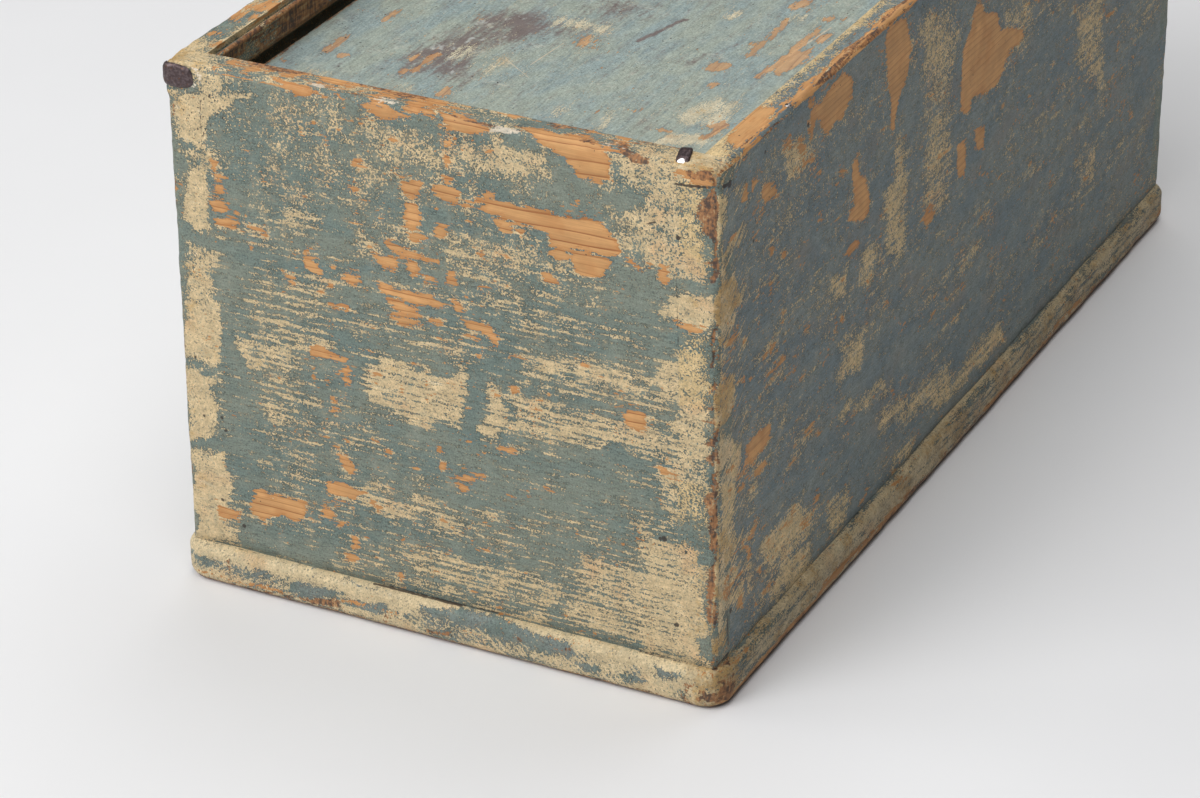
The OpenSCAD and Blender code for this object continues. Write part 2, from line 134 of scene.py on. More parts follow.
# Cream showing on the front: amount, softness of the border in mm, and outline
FRONT_CREAM = (
    (1.0, 1.2, (-87.5, 165.5, -79.5, 165.5, -70.5, 165, -70.5, 161, -76.5, 158, -75, 148, -86.5, 148, -88,
     158.5)),
    (0.75, 1.5, (-81, 175, -60.5, 173.5, -60, 169.5, -66, 162.5, -73, 159, -79, 163.5)),
    (0.8, 1.5, (-87.5, 145.5, -72, 146.5, -71.5, 144.5, -85.5, 143)),
    (1.0, 1.2, (-85.5, 141.5, -77, 143, -76, 130, -76, 121, -81.5, 120.5, -88, 122, -87.5, 130)),
    (0.8, 2, (-86, 115, -73, 116.5, -73, 112, -77, 98.5, -87, 97)),
    (1.0, 1.2, (-89.6, 97, -75.5, 98.5, -73.5, 77, -89.4, 76)),
    (0.95, 1.5, (-89.4, 73, -78.5, 72, -77.5, 50, -89.4, 48)),
    (1.0, 1.5, (-89.4, 45, -73, 47, -74.5, 39, -77, 22.5, -70, 21, -73.5, 13.5, -90, 13.5)),
    (0.72, 3, (-71.5, 86, -50.5, 88.5, -50.5, 77.5, -70, 75.5)),
    (0.55, 3, (-65, 74, -47.5, 74, -48, 67, -64, 66)),
    (0.85, 3, (-23.5, 93, 7.5, 93, 6, 74, -14, 73, -25.5, 76.5)),
    (0.35, 8, (-72, 160, -30, 163, 10, 158, 24, 148, -20, 143, -60, 142)),
    (0.5, 6, (-66, 112, -40, 112, -36, 92, -42, 58, -64, 56)),
    (0.42, 6, (-64, 58, -45, 58, -45, 28, -62, 28)),
    (0.75, 2, (13, 93, 21, 92.5, 20, 73.5, 13.5, 74.5)),
    (0.72, 4, (21.5, 90, 81, 90, 81, 78.5, 39.5, 76.5, 21, 79)),
    (0.62, 4, (26.5, 106.5, 71.5, 108, 71.5, 96, 26.5, 95)),
    (0.55, 4, (-28.5, 50, 2, 50, 8.5, 37, -29, 37.5)),
    (0.62, 4, (-17, 30.5, 38.5, 31, 38.5, 20, -16, 20.5)),
    (0.72, 4, (45.5, 41.5, 86, 40, 86.5, 16, 38.5, 17)),
    (0.6, 3, (12.5, 52, 25.5, 52.5, 25.5, 48.5, 12, 46.5)),
    (0.8, 2, (17, 172, 36.5, 171, 37.5, 161, 21, 160.5)),
    (0.55, 5, (-24, 168, 21.5, 167.5, 34, 157.5, -18, 154)),
    (0.69, 2, (56.5, 174.5, 84, 175.5, 88, 138, 65.5, 138.5, 60, 166)),
    (0.54, 4, (53, 161.5, 65.5, 161, 65.5, 141.5, 53, 143)),
    (0.95, 1.5, (73, 134.5, 88, 134.5, 88, 125.5, 73, 125)),
    (0.55, 2, (81, 123.5, 88, 125.5, 88, 116, 81, 117)),
    (0.88, 1.5, (76.5, 118, 88, 118.5, 88, 83.5, 81, 81.5, 76.5, 90.5)),
    (0.8, 2, (71.5, 114.5, 81, 117, 81, 95, 68.5, 98.5)),
    (0.62, 2, (70, 89, 88, 88.5, 86.5, 63.5, 73, 60)),
    (0.82, 2, (65, 55, 86.5, 53.5, 86.5, 11, 65, 13)),
    (0.84, 1.5, (79, 50, 88, 50, 88, 11, 79, 11)),
    (0.45, 5, (-52, 143, -35, 143.5, -46.5, 117.5, -56.5, 119.5)),
    (0.55, 3, (-30.5, 136.5, -19, 132.5, -19, 123.5, -29, 125.5)),
    (0.5, 5, (4.5, 139, 52.5, 136.5, 46.5, 125.5, 4, 128.5)),
    (0.45, 6, (27, 121.5, 71.5, 118.5, 65.5, 113, 20, 110)),
    (0.6, 2, (13, 119.5, 27, 119.5, 27, 116, 14, 116.5)),
)
# Whole blue paint on the front, laid over the cream places
FRONT_BLUE = (
    (1, 2, (-75, 89, -71.5, 89, -65, 74, -65, 32.5, -73, 30.5, -74.5, 58)),
    (1, 2, (-47.5, 87.5, -25.5, 89.5, -27, 74.5, -46.5, 73.5)),
    (1, 2, (0.5, 72, 34.5, 74, 32.5, 50, 2, 49.5)),
    (1, 1.5, (38, 171, 43, 168.5, 46.5, 162, 37.5, 161)),
    (1, 2, (56, 164, 65.5, 163.5, 65.5, 158, 54.5, 157)),
    (1, 0.8, (7, 92.5, 13, 93, 13.5, 72.5, 6.5, 73.5)),
    (1, 2, (-71, 119.5, -63.5, 120.5, -64.5, 115, -81, 117.5, -88, 117.5)),
    (1, 2, (56.5, 140, 71.5, 141, 71.5, 117, 56.5, 118)),
    (1, 2, (-17, 180, -1, 178.5, -1, 173, -16, 172)),
    (1, 2, (37.5, 78, 59, 79, 58.5, 56.5, 39, 56.5)),
    (1, 1.2, (-85.5, 118, -75.5, 118.5, -76, 116.5, -86.5, 115.5)),
    (1, 1.2, (-87.5, 74.5, -75.5, 75, -78, 71, -87, 72)),
    (1, 1.2, (-87, 47.5, -77, 49.5, -73.5, 46.5, -86.5, 44.5)),
    (1, 2, (-72, 21.5, -40, 22, -40.5, 15.5, -72.5, 14.5)),
    (1, 2, (-71, 171.5, -53.5, 175, -52.5, 169, -69.5, 168)),
    (1, 1, (84.5, 22.5, 89.5, 22.5, 89.5, 16.5, 85.5, 16)),
)
# Bare wood, and cream, on the right side, as outlines of y and z in mm
RIGHT_WOOD = (
    (-73.5, 170, -71.5, 172.5, -64, 172.5, -58.5, 172, -55.5, 168, -52.5, 162, -53, 155.5, -56.5, 150, -61,
     147, -63, 143, -64, 136, -67, 138.5, -67, 146, -69.5, 153.5, -72, 162.5),
    (-1.5, 154, 6, 151.5, 6.5, 148, 18.5, 143.5, 21, 138, 42.5, 129.5, 43, 125, 29, 127, 26, 121.5, 21,
     118.5, 10, 119, -1, 123, -4, 118.5, -9.5, 120.5, -10.5, 134, -9, 142.5, -3.5, 146.5),
    (-108.5, 172, -101, 170, -97, 165.5, -95, 162, -100.5, 159.5, -104.5, 156.5, -114.5, 156.5, -119, 157.5,
     -121, 166, -119.5, 168.5, -114, 169.5),
    (-128, 169.5, -121, 168, -122, 163, -128, 164),
    (-119.5, 161.5, -112, 160, -113.5, 156.5, -119, 157),
    (-131, 167.5, -126.5, 164.5, -123.5, 159, -130.5, 163),
    (-95.5, 139, -92, 139.5, -90, 133.5, -85.5, 129.5, -82, 122.5, -81.5, 117.5, -87.5, 116, -97, 120, -98.5,
     123, -93.5, 124, -93.5, 129, -96, 135),
    (-174, 162.5, -169, 163, -163.5, 161.5, -164.5, 159, -171.5, 158, -174.5, 159),
    (-160.5, 158.5, -154, 157, -149.5, 152.5, -151, 150.5, -160.5, 153.5),
    (-171.5, 172.5, -166.5, 170, -167.5, 168.5),
    (-101, 111, -96.5, 112.5, -89, 111, -88.5, 108.5, -97.5, 108.5),
    (-38, 94.5, -36.5, 97.5, -28.5, 95.5, -30, 92.5, -34.5, 91),
    (-169.5, 77.5, -165, 79.5, -159.5, 79, -152.5, 79, -151, 73.5, -156, 73, -163, 71.5, -168, 73.5),
    (-165, 66.5, -162, 69, -155, 68.5, -155, 65.5, -160.5, 65),
    (-159, 103, -153.5, 103.5, -150.5, 101.5, -155.5, 101),
    (-147, 97.5, -142, 96, -143.5, 94, -147, 96),
    (-170.5, 100.5, -165, 100, -167, 98.5),
    (-170.5, 90, -166, 90.5, -168, 88),
    (-170, 45.5, -167, 45, -164, 41, -167, 39),
    (-165.5, 30, -161, 31, -157.5, 32, -158.5, 29.5),
    (-175.5, 27, -172.5, 30, -168, 29.5, -171, 27),
    (-11.5, 110.5, -5, 109, -4, 96, -10.5, 98.5),
    (3.5, 109.5, 11, 108, 11, 99, 4, 102),
    (-102, 91, -98, 89, -101, 87),
    (-107.5, 86.5, -104, 89, -104, 86.5),
    (-122.5, 138.5, -120.5, 138, -121, 133.5),
    (-166.5, 144, -163.5, 143.5, -163.5, 141),
    (-145.5, 131, -142, 129.5, -144.5, 129),
)
RIGHT_CREAM = (
    (0.62, 4, (-71, 113, -65, 120.5, -60, 135, -55, 133, -52, 91, -69.5, 96)),
    (0.6, 4, (-87, 106.5, -73.5, 104.5, -75.5, 89.5, -88, 93)),
    (0.65, 3, (-109.5, 109, -96, 103.5, -98.5, 95.5, -110.5, 100)),
    (0.58, 4, (-104, 83.5, -79.5, 77.5, -84.5, 63.5, -104.5, 67.5)),
    (0.6, 2, (-148.5, 165, -134.5, 161.5, -130, 154, -142.5, 153)),
    (0.7, 2, (-75.5, 38, -3, 32.5, 4.5, 27, -68.5, 32)),
    (0.7, 2, (-110, 57, -67, 55.5, -62, 50, -103.5, 52)),
    (0.7, 2, (-28, 27, 32.5, 24.5, 38.5, 18, -20.5, 19.5)),
    (0.6, 3, (-77, 43.5, -53.5, 42.5, -45, 35.5, -69, 36)),
    (0.5, 6, (-46.5, 166, -14, 157, -19.5, 125.5, -43, 135)),
    (0.52, 6, (-40.5, 134, -15.5, 127.5, -16.5, 88, -37.5, 95)),
    (0.55, 5, (24.5, 143.5, 51.5, 136, 52.5, 126.5, 25.5, 135.5)),
    (0.55, 5, (89.5, 118, 119, 111, 124.5, 71.5, 95, 98)),
    (0.5, 5, (97, 64, 121.5, 57.5, 120, 41, 93.5, 54)),
    (0.7, 3, (-158.5, 42.5, -130, 41.5, -122, 30.5, -151, 24.5)),
    (0.7, 3, (-144, 28, -120.5, 24, -119.5, 8, -150.5, 14)),
    (0.6, 3, (-107, 30, -92, 29.5, -97, 10.5, -109.5, 20.5)),
    (0.6, 2, (-186, 36.5, -158.5, 32, -169, 27, -182.5, 30.5)),
    (0.6, 3, (-60, 20.5, -42, 20.5, -41.5, 14.5, -58, 13)),
    (0.8, 2, (-189, 110, -178, 105.5, -182, 92.5, -188.5, 94)),
    (0.8, 2, (-189.5, 142, -178, 137, -178, 121, -191.5, 127)),
    (0.7, 2, (-191, 167, -184.5, 165.5, -187, 158, -191, 158.5)),
    (0.7, 2, (-186, 89.5, -173.5, 83.5, -174.5, 74, -187, 78.5)),
    (0.8, 2, (-187, 80, -177.5, 72, -175.5, 44.5, -186.5, 43.5)),
    (0.8, 2, (-189, 45, -181, 37, -182, 20.5, -190, 21.5)),
)
# Rubbed brown wood beside the right front arris, as outlines of u and z in mm. u is the distance from the
# arris, negative on the front and positive on the right side.
ARRIS_BROWN = (
    (-5, 166, -1.5, 169, 0, 164.5, 0, 155, -1, 147, -1.5, 149, -2.5, 153, -5, 154, -6.5, 155.5, -5, 157.5,
     -6, 160.5, -5, 163),
    (-10, 163.5, -8.5, 163.5, -7.5, 160, -5.5, 160.5, -6, 159.5, -8.5, 159),
    (-4.5, 145.5, -0.5, 148, 0.5, 144.5, -1, 139.5, -4, 138.5, -2.5, 142.5, -2, 144.5),
    (-2.1, 175.5, -0.1, 175.5, 0.1, 170, -1.9, 169.4),
    (-4.5, 174.5, -2.2, 176, -2.1, 173.2, -3.2, 172),
    (-2, 125.5, -0.5, 125.5, -0.5, 122.5, -1.5, 120.5, -2.5, 120),
    (-2, 118.5, 0, 119, -1, 115.5, -2, 112.5, -3.5, 112.5, -2.5, 114, -1.5, 116),
    (-5, 104, -2.5, 107, -1, 109, 0, 107.5, -3, 105),
    (-5.5, 100.5, -1.5, 101, -1.5, 100, -5, 99.5),
    (-5.5, 95.5, -3, 96, -1, 97.5, -1, 95, -2, 95.5, -5, 95),
    (-4, 88.5, -2, 90, 0, 92, 0.5, 90.5, -1, 88, -3.5, 87.5),
    (-4.5, 82, -2, 86, 0, 87.5, -0.5, 85.5, -2.5, 82.5, -4, 81.5),
    (-2, 82.5, -0.5, 83.5, -1, 81.5, -2, 81.5),
    (-2, 78.5, -0.5, 79, -1, 74, -2, 74.5),
    (-4.5, 70, -2.5, 73, 1.5, 73.5, 2.5, 71.5, -0.5, 71, 2.5, 66.5, 2, 64, 0, 61, 2, 58.5, 0, 56, -1, 53,
     -2.5, 53.5, -2, 57.5, -3, 60.5, -2, 64, -3.5, 67),
    (-3.5, 47, -0.5, 49.5, 0, 44.5, -1, 37.5, -2, 33, -1, 30, -2.5, 28, -3, 30, -3.5, 37, -3.5, 42),
)
# Ochre and cream beside it: amount and softness of the ochre, amount and softness of the cream, and outline
ARRIS_PAINT = (
    (0, 1, 0.9, 0.8, (-0.5, 166, 3, 167.5, 6, 159, 2, 154.5, -0.5, 150.5, -1, 156.5)),
    (0, 1, 0.9, 0.8, (-0.5, 86.5, 8, 80.5, 16.5, 80, 16, 77, 8.5, 75, 10.5, 69, 4.5, 69, 0.5, 71.5, -0.5,
     77.5)),
    (0, 1, 0.9, 0.8, (3, 68, 10, 66, 11.5, 60.5, 4.5, 59)),
    (1, 1, 1, 0.8, (-1, 127, -2, 134.5, 2, 139, 10.5, 138.5, 15.5, 128.5, 10.5, 126.5, 6, 125.5, 2, 125.5)),
    (0.5, 1, 0.8, 1, (1.5, 146.5, 7, 151, 14.5, 153, 21.5, 151.5, 19, 148, 12, 146, 7, 144)),
    (0.9, 1, 1, 0.8, (-1.5, 105, 2.5, 109, 11, 107.5, 12.5, 97.5, 8, 95, 4.5, 93, 0, 93, -1.5, 95)),
    (0.7, 1, 0.8, 0.8, (-0.5, 124, 7.5, 121, 9.5, 116.5, 2, 118.5)),
    (0.6, 1, 0.9, 0.8, (0.5, 59, 10.5, 57.5, 15, 52, 13.5, 47.5, 9, 46.5, 8, 33.5, 5, 35.5, 0, 37.5, -1,
     27.5, -2, 23.5, -1, 46, 0.5, 51)),
    (0.9, 1, 0.9, 0.8, (-1.5, 23.5, 6, 26, 9, 19.5, 4, 18, -1.5, 18.5)),
    (0, 1, 0.7, 1, (25.5, 145, 35, 146.5, 39.5, 142.5, 31, 140.5)),
    (0, 1, 0.7, 1, (8.5, 168.5, 13.5, 165, 12, 162.5, 8.5, 165)),
    (0.9, 2, 0, 1, (-12, 174, -4, 175, 3, 172, 3, 169, -4, 171, -12, 172)),
)
ARRIS_OCHRE = [(amount, soft, outline) for amount, soft, _, _, outline in ARRIS_PAINT]
ARRIS_CREAM = [(amount, soft, outline) for _, _, amount, soft, outline in ARRIS_PAINT]
# Blue paint, and rubbed brown, on the front edge of the base board, as outlines of x and z in mm
BASE_BLUE = (
    (1, 1, (-51, 8.5, -37, 9.5, -35, 6.5, -48.5, 4, -54, 4.5)),
    (1, 0.8, (-71, 7, -63, 8, -63, 6.5, -70.5, 6)),
    (1, 0.8, (-63, 9.5, -59.5, 9, -60.5, 7, -63, 7)),
    (1, 1, (-7.5, 11.5, 4.5, 13, 20, 13.5, 30, 12.5, 40, 13, 45, 9.5, 43.5, 7, 33.5, 7, 20, 7, 13, 8.5, -0.5,
     9.5, -8.5, 9.5)),
    (1, 0.8, (45, 6, 50.5, 7.5, 53, 6, 48.5, 3)),
    (1, 0.8, (59.5, 6.5, 67.5, 7.5, 68.5, 5, 61.5, 3.5)),
    (1, 0.8, (70, 12, 74, 10.5, 80.5, 11, 78.5, 8.5, 73, 8)),
    (1, 0.8, (-35.5, 7, -19.5, 8.5, -18, 5.5, -28.5, 4)),
    (1, 0.8, (-67.5, 4, -63.5, 4, -65, 2.5, -67.5, 2.5)),
    (1, 0.8, (-83.5, 10, -82, 8.5, -84, 6, -85, 8)),
)
BASE_BROWN = (
    (-50, 4, -39, 5.5, -33.5, 5, -35.5, 2.5, -46.5, 2),
    (-6, 3.5, 4.5, 4.5, 3.5, 3, -5, 2.5),
    (21.5, 9, 30, 9.5, 28, 8),
    (-57, 3, -52.5, 3.5, -53.5, 2, -56.5, 1.5),
    (-76, 10, -74.5, 10, -74.5, 6.5, -75.5, 4.5),
    (-20, 5, -18, 5, -19, 1.5, -20.5, 1.5),
    (-63.5, 2, -59, 2.5, -60, 1, -63.5, 1),
    (36.5, 8.5, 44, 10, 42.5, 8.5),
)
# Bare wood, cream and dark stains on the lid, as outlines of x and y in mm
LID_WOOD = (
    (-64, -110, -63.5, -104.5, -62.5, -97, -60.5, -98.5, -61.5, -106),
    (-42.5, -133, -41, -128, -40, -125, -39, -129.5),
    (-37, -137.5, -36, -130.5, -36, -122, -34.5, -122, -34, -130.5, -34.5, -138),
    (-39, -140.5, -39, -137, -37.5, -135.5, -36, -140.5),
    (-20.5, -150, -20.5, -144.5, -19, -143, -17.5, -147, -18.5, -151),
    (-10, -147.5, -9.5, -142.5, -8.5, -134.5, -7.5, -135.5, -7.5, -143, -8.5, -147.5),
    (-5, -143.5, -3.5, -142, -1.5, -143.5, -3.5, -145.5),
    (-6.5, -97.5, -6, -88.5, -2, -85, 1, -92.5, 1, -99, -3.5, -99.5),
    (2.5, -112, 4.5, -109, 6, -112, 4, -113.5),
    (47.5, -114.5, 48.5, -113.5, 50, -116.5, 49, -118),
    (47, -109, 48.5, -104.5, 51.5, -106.5, 50, -109.5),
    (42, -97.5, 42.5, -93, 46.5, -90.5, 49, -92.5, 47, -97, 44, -99),
    (49, -86, 48.5, -79.5, 48, -74.5, 48.5, -66, 47, -54.5, 48.5, -52, 50, -56.5, 50.5, -65, 50.5, -73.5, 51,
     -83.5),
    (45.5, -74, 47.5, -71.5, 49, -76, 48, -78),
    (45, -43, 46, -37, 50, -35.5, 49.5, -40.5, 47.5, -45.5),
    (63.5, -67, 63.5, -60, 65, -55, 66.5, -59.5, 65.5, -65.5),
    (58, -49, 59.5, -45, 62.5, -45, 62, -49),
    (58, -96.5, 59, -84.5, 59.5, -74, 59.5, -58.5, 60, -51.5, 61.5, -59.5, 61.5, -75, 61, -88.5, 59.5, -97.5),
    (61.5, -91.5, 61, -85, 61.5, -75, 64.5, -70, 66, -77.5, 65.5, -88, 64, -93.5),
    (62.5, -144, 63.5, -137, 63.5, -131, 65.5, -131.5, 65.5, -137.5, 64.5, -144.5),
    (59, -136, 62, -134, 63, -130, 64, -135),
    (47.5, -145, 50, -141.5, 53, -142.5, 51.5, -144.5),
    (36.5, -136, 37.5, -131.5, 38.5, -132, 38, -135.5),
    (-61.5, -138, -61.5, -134.5, -59, -135, -59.5, -138.5),
    (-66.5, -130, -67.5, -124, -67, -121, -64.5, -125.5, -64, -131),
    (-67, -137.5, -67.5, -132.5, -66, -131.5, -64.5, -136),
    (-75, -148, -74.5, -146, -73, -148.5),
    (-58, -159.5, -57.5, -156, -55.5, -156.5, -56, -159.5),
    (8, -138.5, 8, -134, 10.5, -133, 11, -137),
)
LID_CREAM = (
    (0.6, 3, (48.5, -133.5, 49, -122, 55.5, -115.5, 64, -116.5, 64.5, -127.5, 58.5, -135, 54, -137)),
    (0.85, 2, (48.5, -154, 53, -144.5, 62, -141, 67, -144.5, 62.5, -150, 53, -154)),
    (0.5, 3, (31, -151.5, 29.5, -142.5, 31.5, -137, 33.5, -142.5, 33.5, -150)),
    (0.6, 2, (-16.5, -88.5, -16.5, -78, -10, -80.5, -5, -79.5, 2, -81.5, 2.5, -88, -4, -86, -10, -87.5)),
    (0.8, 1, (33, -61, 33, -52, 35.5, -53, 35.5, -60)),
    (0.6, 3, (49, -55, 50.5, -47.5, 56, -48, 54, -54.5)),
    (0.4, 5, (-21.5, -127, -18, -115, -11.5, -117, -11, -128.5, -15, -134)),
    (0.5, 3, (-34, -119.5, -30.5, -111, -22.5, -112.5, -22.5, -120.5, -25, -127, -29.5, -126)),
    (0.5, 3, (-68.5, -153, -64.5, -148, -54.5, -148, -55.5, -151.5, -64.5, -154.5)),
    (0.4, 3, (-38.5, -151.5, -31.5, -146.5, -23, -149, -27, -154)),
    (0.4, 3, (14, -147, 15.5, -140, 19, -143, 19, -149.5)),
)
LID_STAIN = (
    (1, 6, (-38, -143.5, -40.5, -127, -38.5, -115, -38, -102.5, -37, -88, -29, -80.5, -19.5, -82.5, -13.5,
     -92.5, -16.5, -104.5, -23.5, -111, -24.5, -121.5, -25, -132, -31, -131.5, -33, -137.5)),
    (1, 5, (-31, -133, -26, -124, -20, -124.5, -17.5, -135, -20.5, -141.5, -25.5, -138.5)),
    (1, 3, (-9, -106, -9, -97, -6.5, -88, -2.5, -83, 0, -86, -1, -92.5, -1.5, -102, -4, -108)),
    (0.7, 5, (-12, -83, -9, -65.5, 1.5, -59, 1, -71.5, -2.5, -85.5)),
    (0.7, 4, (37, -97, 37.5, -88, 40.5, -85, 41, -94.5)),
    (0.6, 4, (40, -142.5, 43, -136, 44.5, -138.5, 43.5, -144)),
)
# The dark streak in the lid's paint: two ends and half the width in mm
LID_STREAK = (
    ((14.9, -88.0, 160.9), (17.8, -77.5, 160.9), 0.85), ((17.8, -77.5, 160.9), (20.4, -66.5, 160.9), 0.7),
)
# Pale scratches in the lid's paint: two ends and half the width in mm
SCRATCHES = (
    ((58.2, -97.5, 160.9), (63.4, -52.7, 160.9), 0.24),
    ((-5.9, -118.1, 160.9), (-4.5, -99.2, 160.9), 0.16),
    ((-14.5, -117.4, 160.9), (-1.8, -126.8, 160.9), 0.12),
    ((22, -34, 160.9), (30, 4, 160.9), 0.14),
    ((-40, 52, 160.9), (-22, 71, 160.9), 0.12),
    ((-52, -20, 160.9), (-50, 18, 160.9), 0.16),
    ((10, 96, 160.9), (24, 140, 160.9), 0.14),
)
# Bare wood on the flat of the right rim, as outlines of x and y in mm
RIM_WOOD = (
    (82, -168.5, 80.5, -159, 80, -146.5, 82, -141, 86.5, -143.5, 86, -150, 86, -159, 86, -165.5, 84.5,
     -170.5),
    (87, -73.5, 86, -65.5, 86.5, -55, 89.5, -52, 91, -60, 90.5, -68.5, 90, -76),
    (86.5, -109, 85.5, -96.5, 87, -89, 89, -97.5, 89, -107.5),
    (85.5, -125.5, 85.5, -117, 86.5, -110.5, 88.5, -116, 87.5, -124.5, 87.5, -129),
)
# Nail holes and worm holes: middle and radius in mm
HOLES = (
    ((-76.6, -188.5, 58.4), 0.5),
    ((-75.4, -188.5, 54.3), 0.5),
    ((-78.0, -188.5, 29.5), 0.5),
    ((-70.6, -188.5, 22.1), 0.6),
    ((-82.9, -188.5, 57.6), 0.4),
    ((-84.9, -188.5, 77.4), 0.4),
    ((-74.9, -188.5, 165.3), 0.4),
    ((77.2, -188.5, 151.7), 0.7),
    ((73.0, -188.5, 53.8), 0.8),
    ((71.7, -188.5, 53.6), 0.5),
    ((77.1, -188.5, 25.8), 0.7),
    ((90, -128.8, 164.6), 0.7),
    ((90, -158.6, 168.3), 0.5),
    ((90, -182.0, 168.2), 1.1),
    ((90, -178.5, 28.7), 0.8),
    ((90, -165.6, 143.5), 0.5),
)
# Open joints and cracks: two ends and half the width in mm
CRACKS = (
    ((-78.1, -188.5, 163.3), (-78.5, -188.5, 147.5), 0.08),
    ((-78.2, -188.5, 144.3), (-78.5, -188.5, 132.5), 0.0),
    ((76.7, -188.5, 137.9), (77.3, -188.5, 117.8), 0.0),
    ((76.3, -188.5, 77.5), (76.2, -188.5, 52.6), 0.0),
    ((76.2, -188.5, 168.1), (80.7, -188.5, 168.4), 0.26),
    ((80.7, -188.5, 168.4), (90, -188.5, 169.3), 0.38),
    ((90, -188.5, 169.5), (90, -182.0, 168.2), 0.5),
    ((5, -188.5, 13.8), (18, -188.5, 14.2), 0.2),
    ((76.8, -188.5, 47.8), (76.9, -188.5, 26.8), 0.0),
    ((70.0, -188.5, 155.1), (67.5, -188.5, 154.0), 0.15),
    ((79.7, -188.5, 51.2), (82.4, -188.5, 49.9), 0.08),
    ((-74.7, -191.5, 12.5), (-74.9, -191.5, 3.5), 0.12),
    ((-82, -188.5, 13.7), (-66, -188.5, 13.7), 0.1),
    ((90, -181.0, 29.6), (90, -180.0, 17.8), 0.22),
    ((90, -188.5, 14.0), (90, -179.7, 14.6), 0.5),
    ((65.1, -188.5, 13.6), (90, -188.5, 13.8), 0.18),
    ((-25, -188.5, 13.6), (5, -188.5, 13.6), 0.4),
)


# ---------------------------------------------------------------- fields in space

# Large odd numbers that scramble the noise's cells, its seeds and the sum of both
CELL_KEYS, SEED_KEY, STIR_KEY = (73856093, 19349663, 83492791), 40503, 1274126177


def noise(p, size, seed):
    """Smooth noise from -1 to 1 at points in mm. size is that of its bumps, one number or one an axis."""
    q = p / np.asarray(size, float) + 7.31 * seed
    cell = np.floor(q).astype(np.int64)
    f = q - cell
    f = f * f * (3 - 2 * f)
    total = np.zeros(len(p))
    for corner in np.ndindex(2, 2, 2):
        i, j, k = ((cell + corner) * CELL_KEYS).T
        h = i ^ j ^ k ^ (seed * SEED_KEY)
        h = ((h ^ (h >> 13)) * STIR_KEY) & 0x7FFFFFFF
        h = (h ^ (h >> 15)) & 0xFFFF
        total += np.prod(np.where(corner, f, 1 - f), axis=1) * h / 0xFFFF
    return 2 * total - 1


def rough_noise(p, size, seed):
    """Noise with finer noise on it."""
    size = np.asarray(size, float)
    fine, finest = noise(p, size / 2.1, seed + 1), noise(p, size / 4.3, seed + 2)
    return 0.6 * noise(p, size, seed) + 0.3 * fine + 0.15 * finest


def smooth(x, low, high):
    """Rises smoothly from 0 at low to 1 at high."""
    t = np.clip((x - low) / (high - low), 0, 1)
    return t * t * (3 - 2 * t)


def inside(points, outline):
    """Distance in mm from flat points to an outline, positive inside it."""
    corners = np.array(outline, float).reshape(-1, 2)
    x, y = points.T
    near = np.full(len(points), np.inf)
    odd = np.zeros(len(points), bool)
    for a, b in zip(corners, np.roll(corners, -1, 0)):
        edge, rel = b - a, points - a
        t = np.clip(rel @ edge / (edge @ edge), 0, 1)
        near = np.minimum(near, ((rel - t[:, None] * edge) ** 2).sum(1))
        if a[1] != b[1]:
            odd ^= ((a[1] > y) != (b[1] > y)) & (x < (b[0] - a[0]) * (y - a[1]) / (b[1] - a[1]) + a[0])
    return np.where(odd, 1, -1) * np.sqrt(near)


def around(points, outline, margin):
    """Numbers of the points that are in an outline or less than a margin from it."""
    corners = np.array(outline, float).reshape(-1, 2)
    low, high = corners.min(0) - margin, corners.max(0) + margin
    return np.nonzero(((points > low) & (points < high)).all(1))[0]


def nearest(points, outlines):
    """The largest of the distances to several outlines, so positive inside any of them."""
    best = np.full(len(points), -FAR)
    for outline in outlines:
        close = around(points, outline, FAR)
        best[close] = np.maximum(best[close], inside(points[close], outline))
    return best


def laid(points, patches, ground):
    """The ground amount, raised to each patch's own amount inside it."""
    ground = ground.copy()
    for amount, soft, outline in patches:
        close = around(points, outline, soft)
        share = smooth(inside(points[close], outline), -soft, soft)
        ground[close] = np.maximum(ground[close], amount * share)
    return ground


def cover(points, patches):
    """The patches' amounts, over nothing."""
    return laid(points, patches, np.zeros(len(points)))


def only(distance, share):
    """A distance in mm where share is 1, and far outside everything where it is 0."""
    return distance - 5 * FAR * (1 - share)


def capped(distance):
    """A distance kept to what the materials need of it."""
    return np.clip(distance, -FAR, FAR)


def most(*values):
    """The largest of several values at each point."""
    return np.maximum.reduce(values)


def wandering(p, flat, *steps):
    """Flat places shifted by noise, so that an outline drawn with few corners gets a natural border."""
    out = flat.copy()
    for size, reach, seed in steps:
        out[:, 0] += reach * noise(p, size, seed)
        out[:, 1] += reach * noise(p, size, seed + 1)
    return out


# ---------------------------------------------------------------- meshes

def sliced(bm, faces, axis, values):
    """Cuts faces along planes across one axis, halving the list of planes each time."""
    if not values or not faces:
        return faces
    middle = len(values) // 2
    at = values[middle] * MM
    spot, across = Vector((0, 0, 0)), Vector((0, 0, 0))
    spot[axis], across[axis] = at, 1
    verts = {v for f in faces for v in f.verts}
    edges = {e for f in faces for e in f.edges}
    geom = [*verts, *edges, *faces]
    made = bmesh.ops.bisect_plane(bm, geom=geom, dist=1e-7, plane_co=spot, plane_no=across)
    cut = [g for g in made["geom"] if isinstance(g, bmesh.types.BMFace)]
    low = [f for f in cut if f.calc_center_median()[axis] < at]
    high = [f for f in cut if f.calc_center_median()[axis] >= at]
    return sliced(bm, low, axis, values[:middle]) + sliced(bm, high, axis, values[middle + 1:])


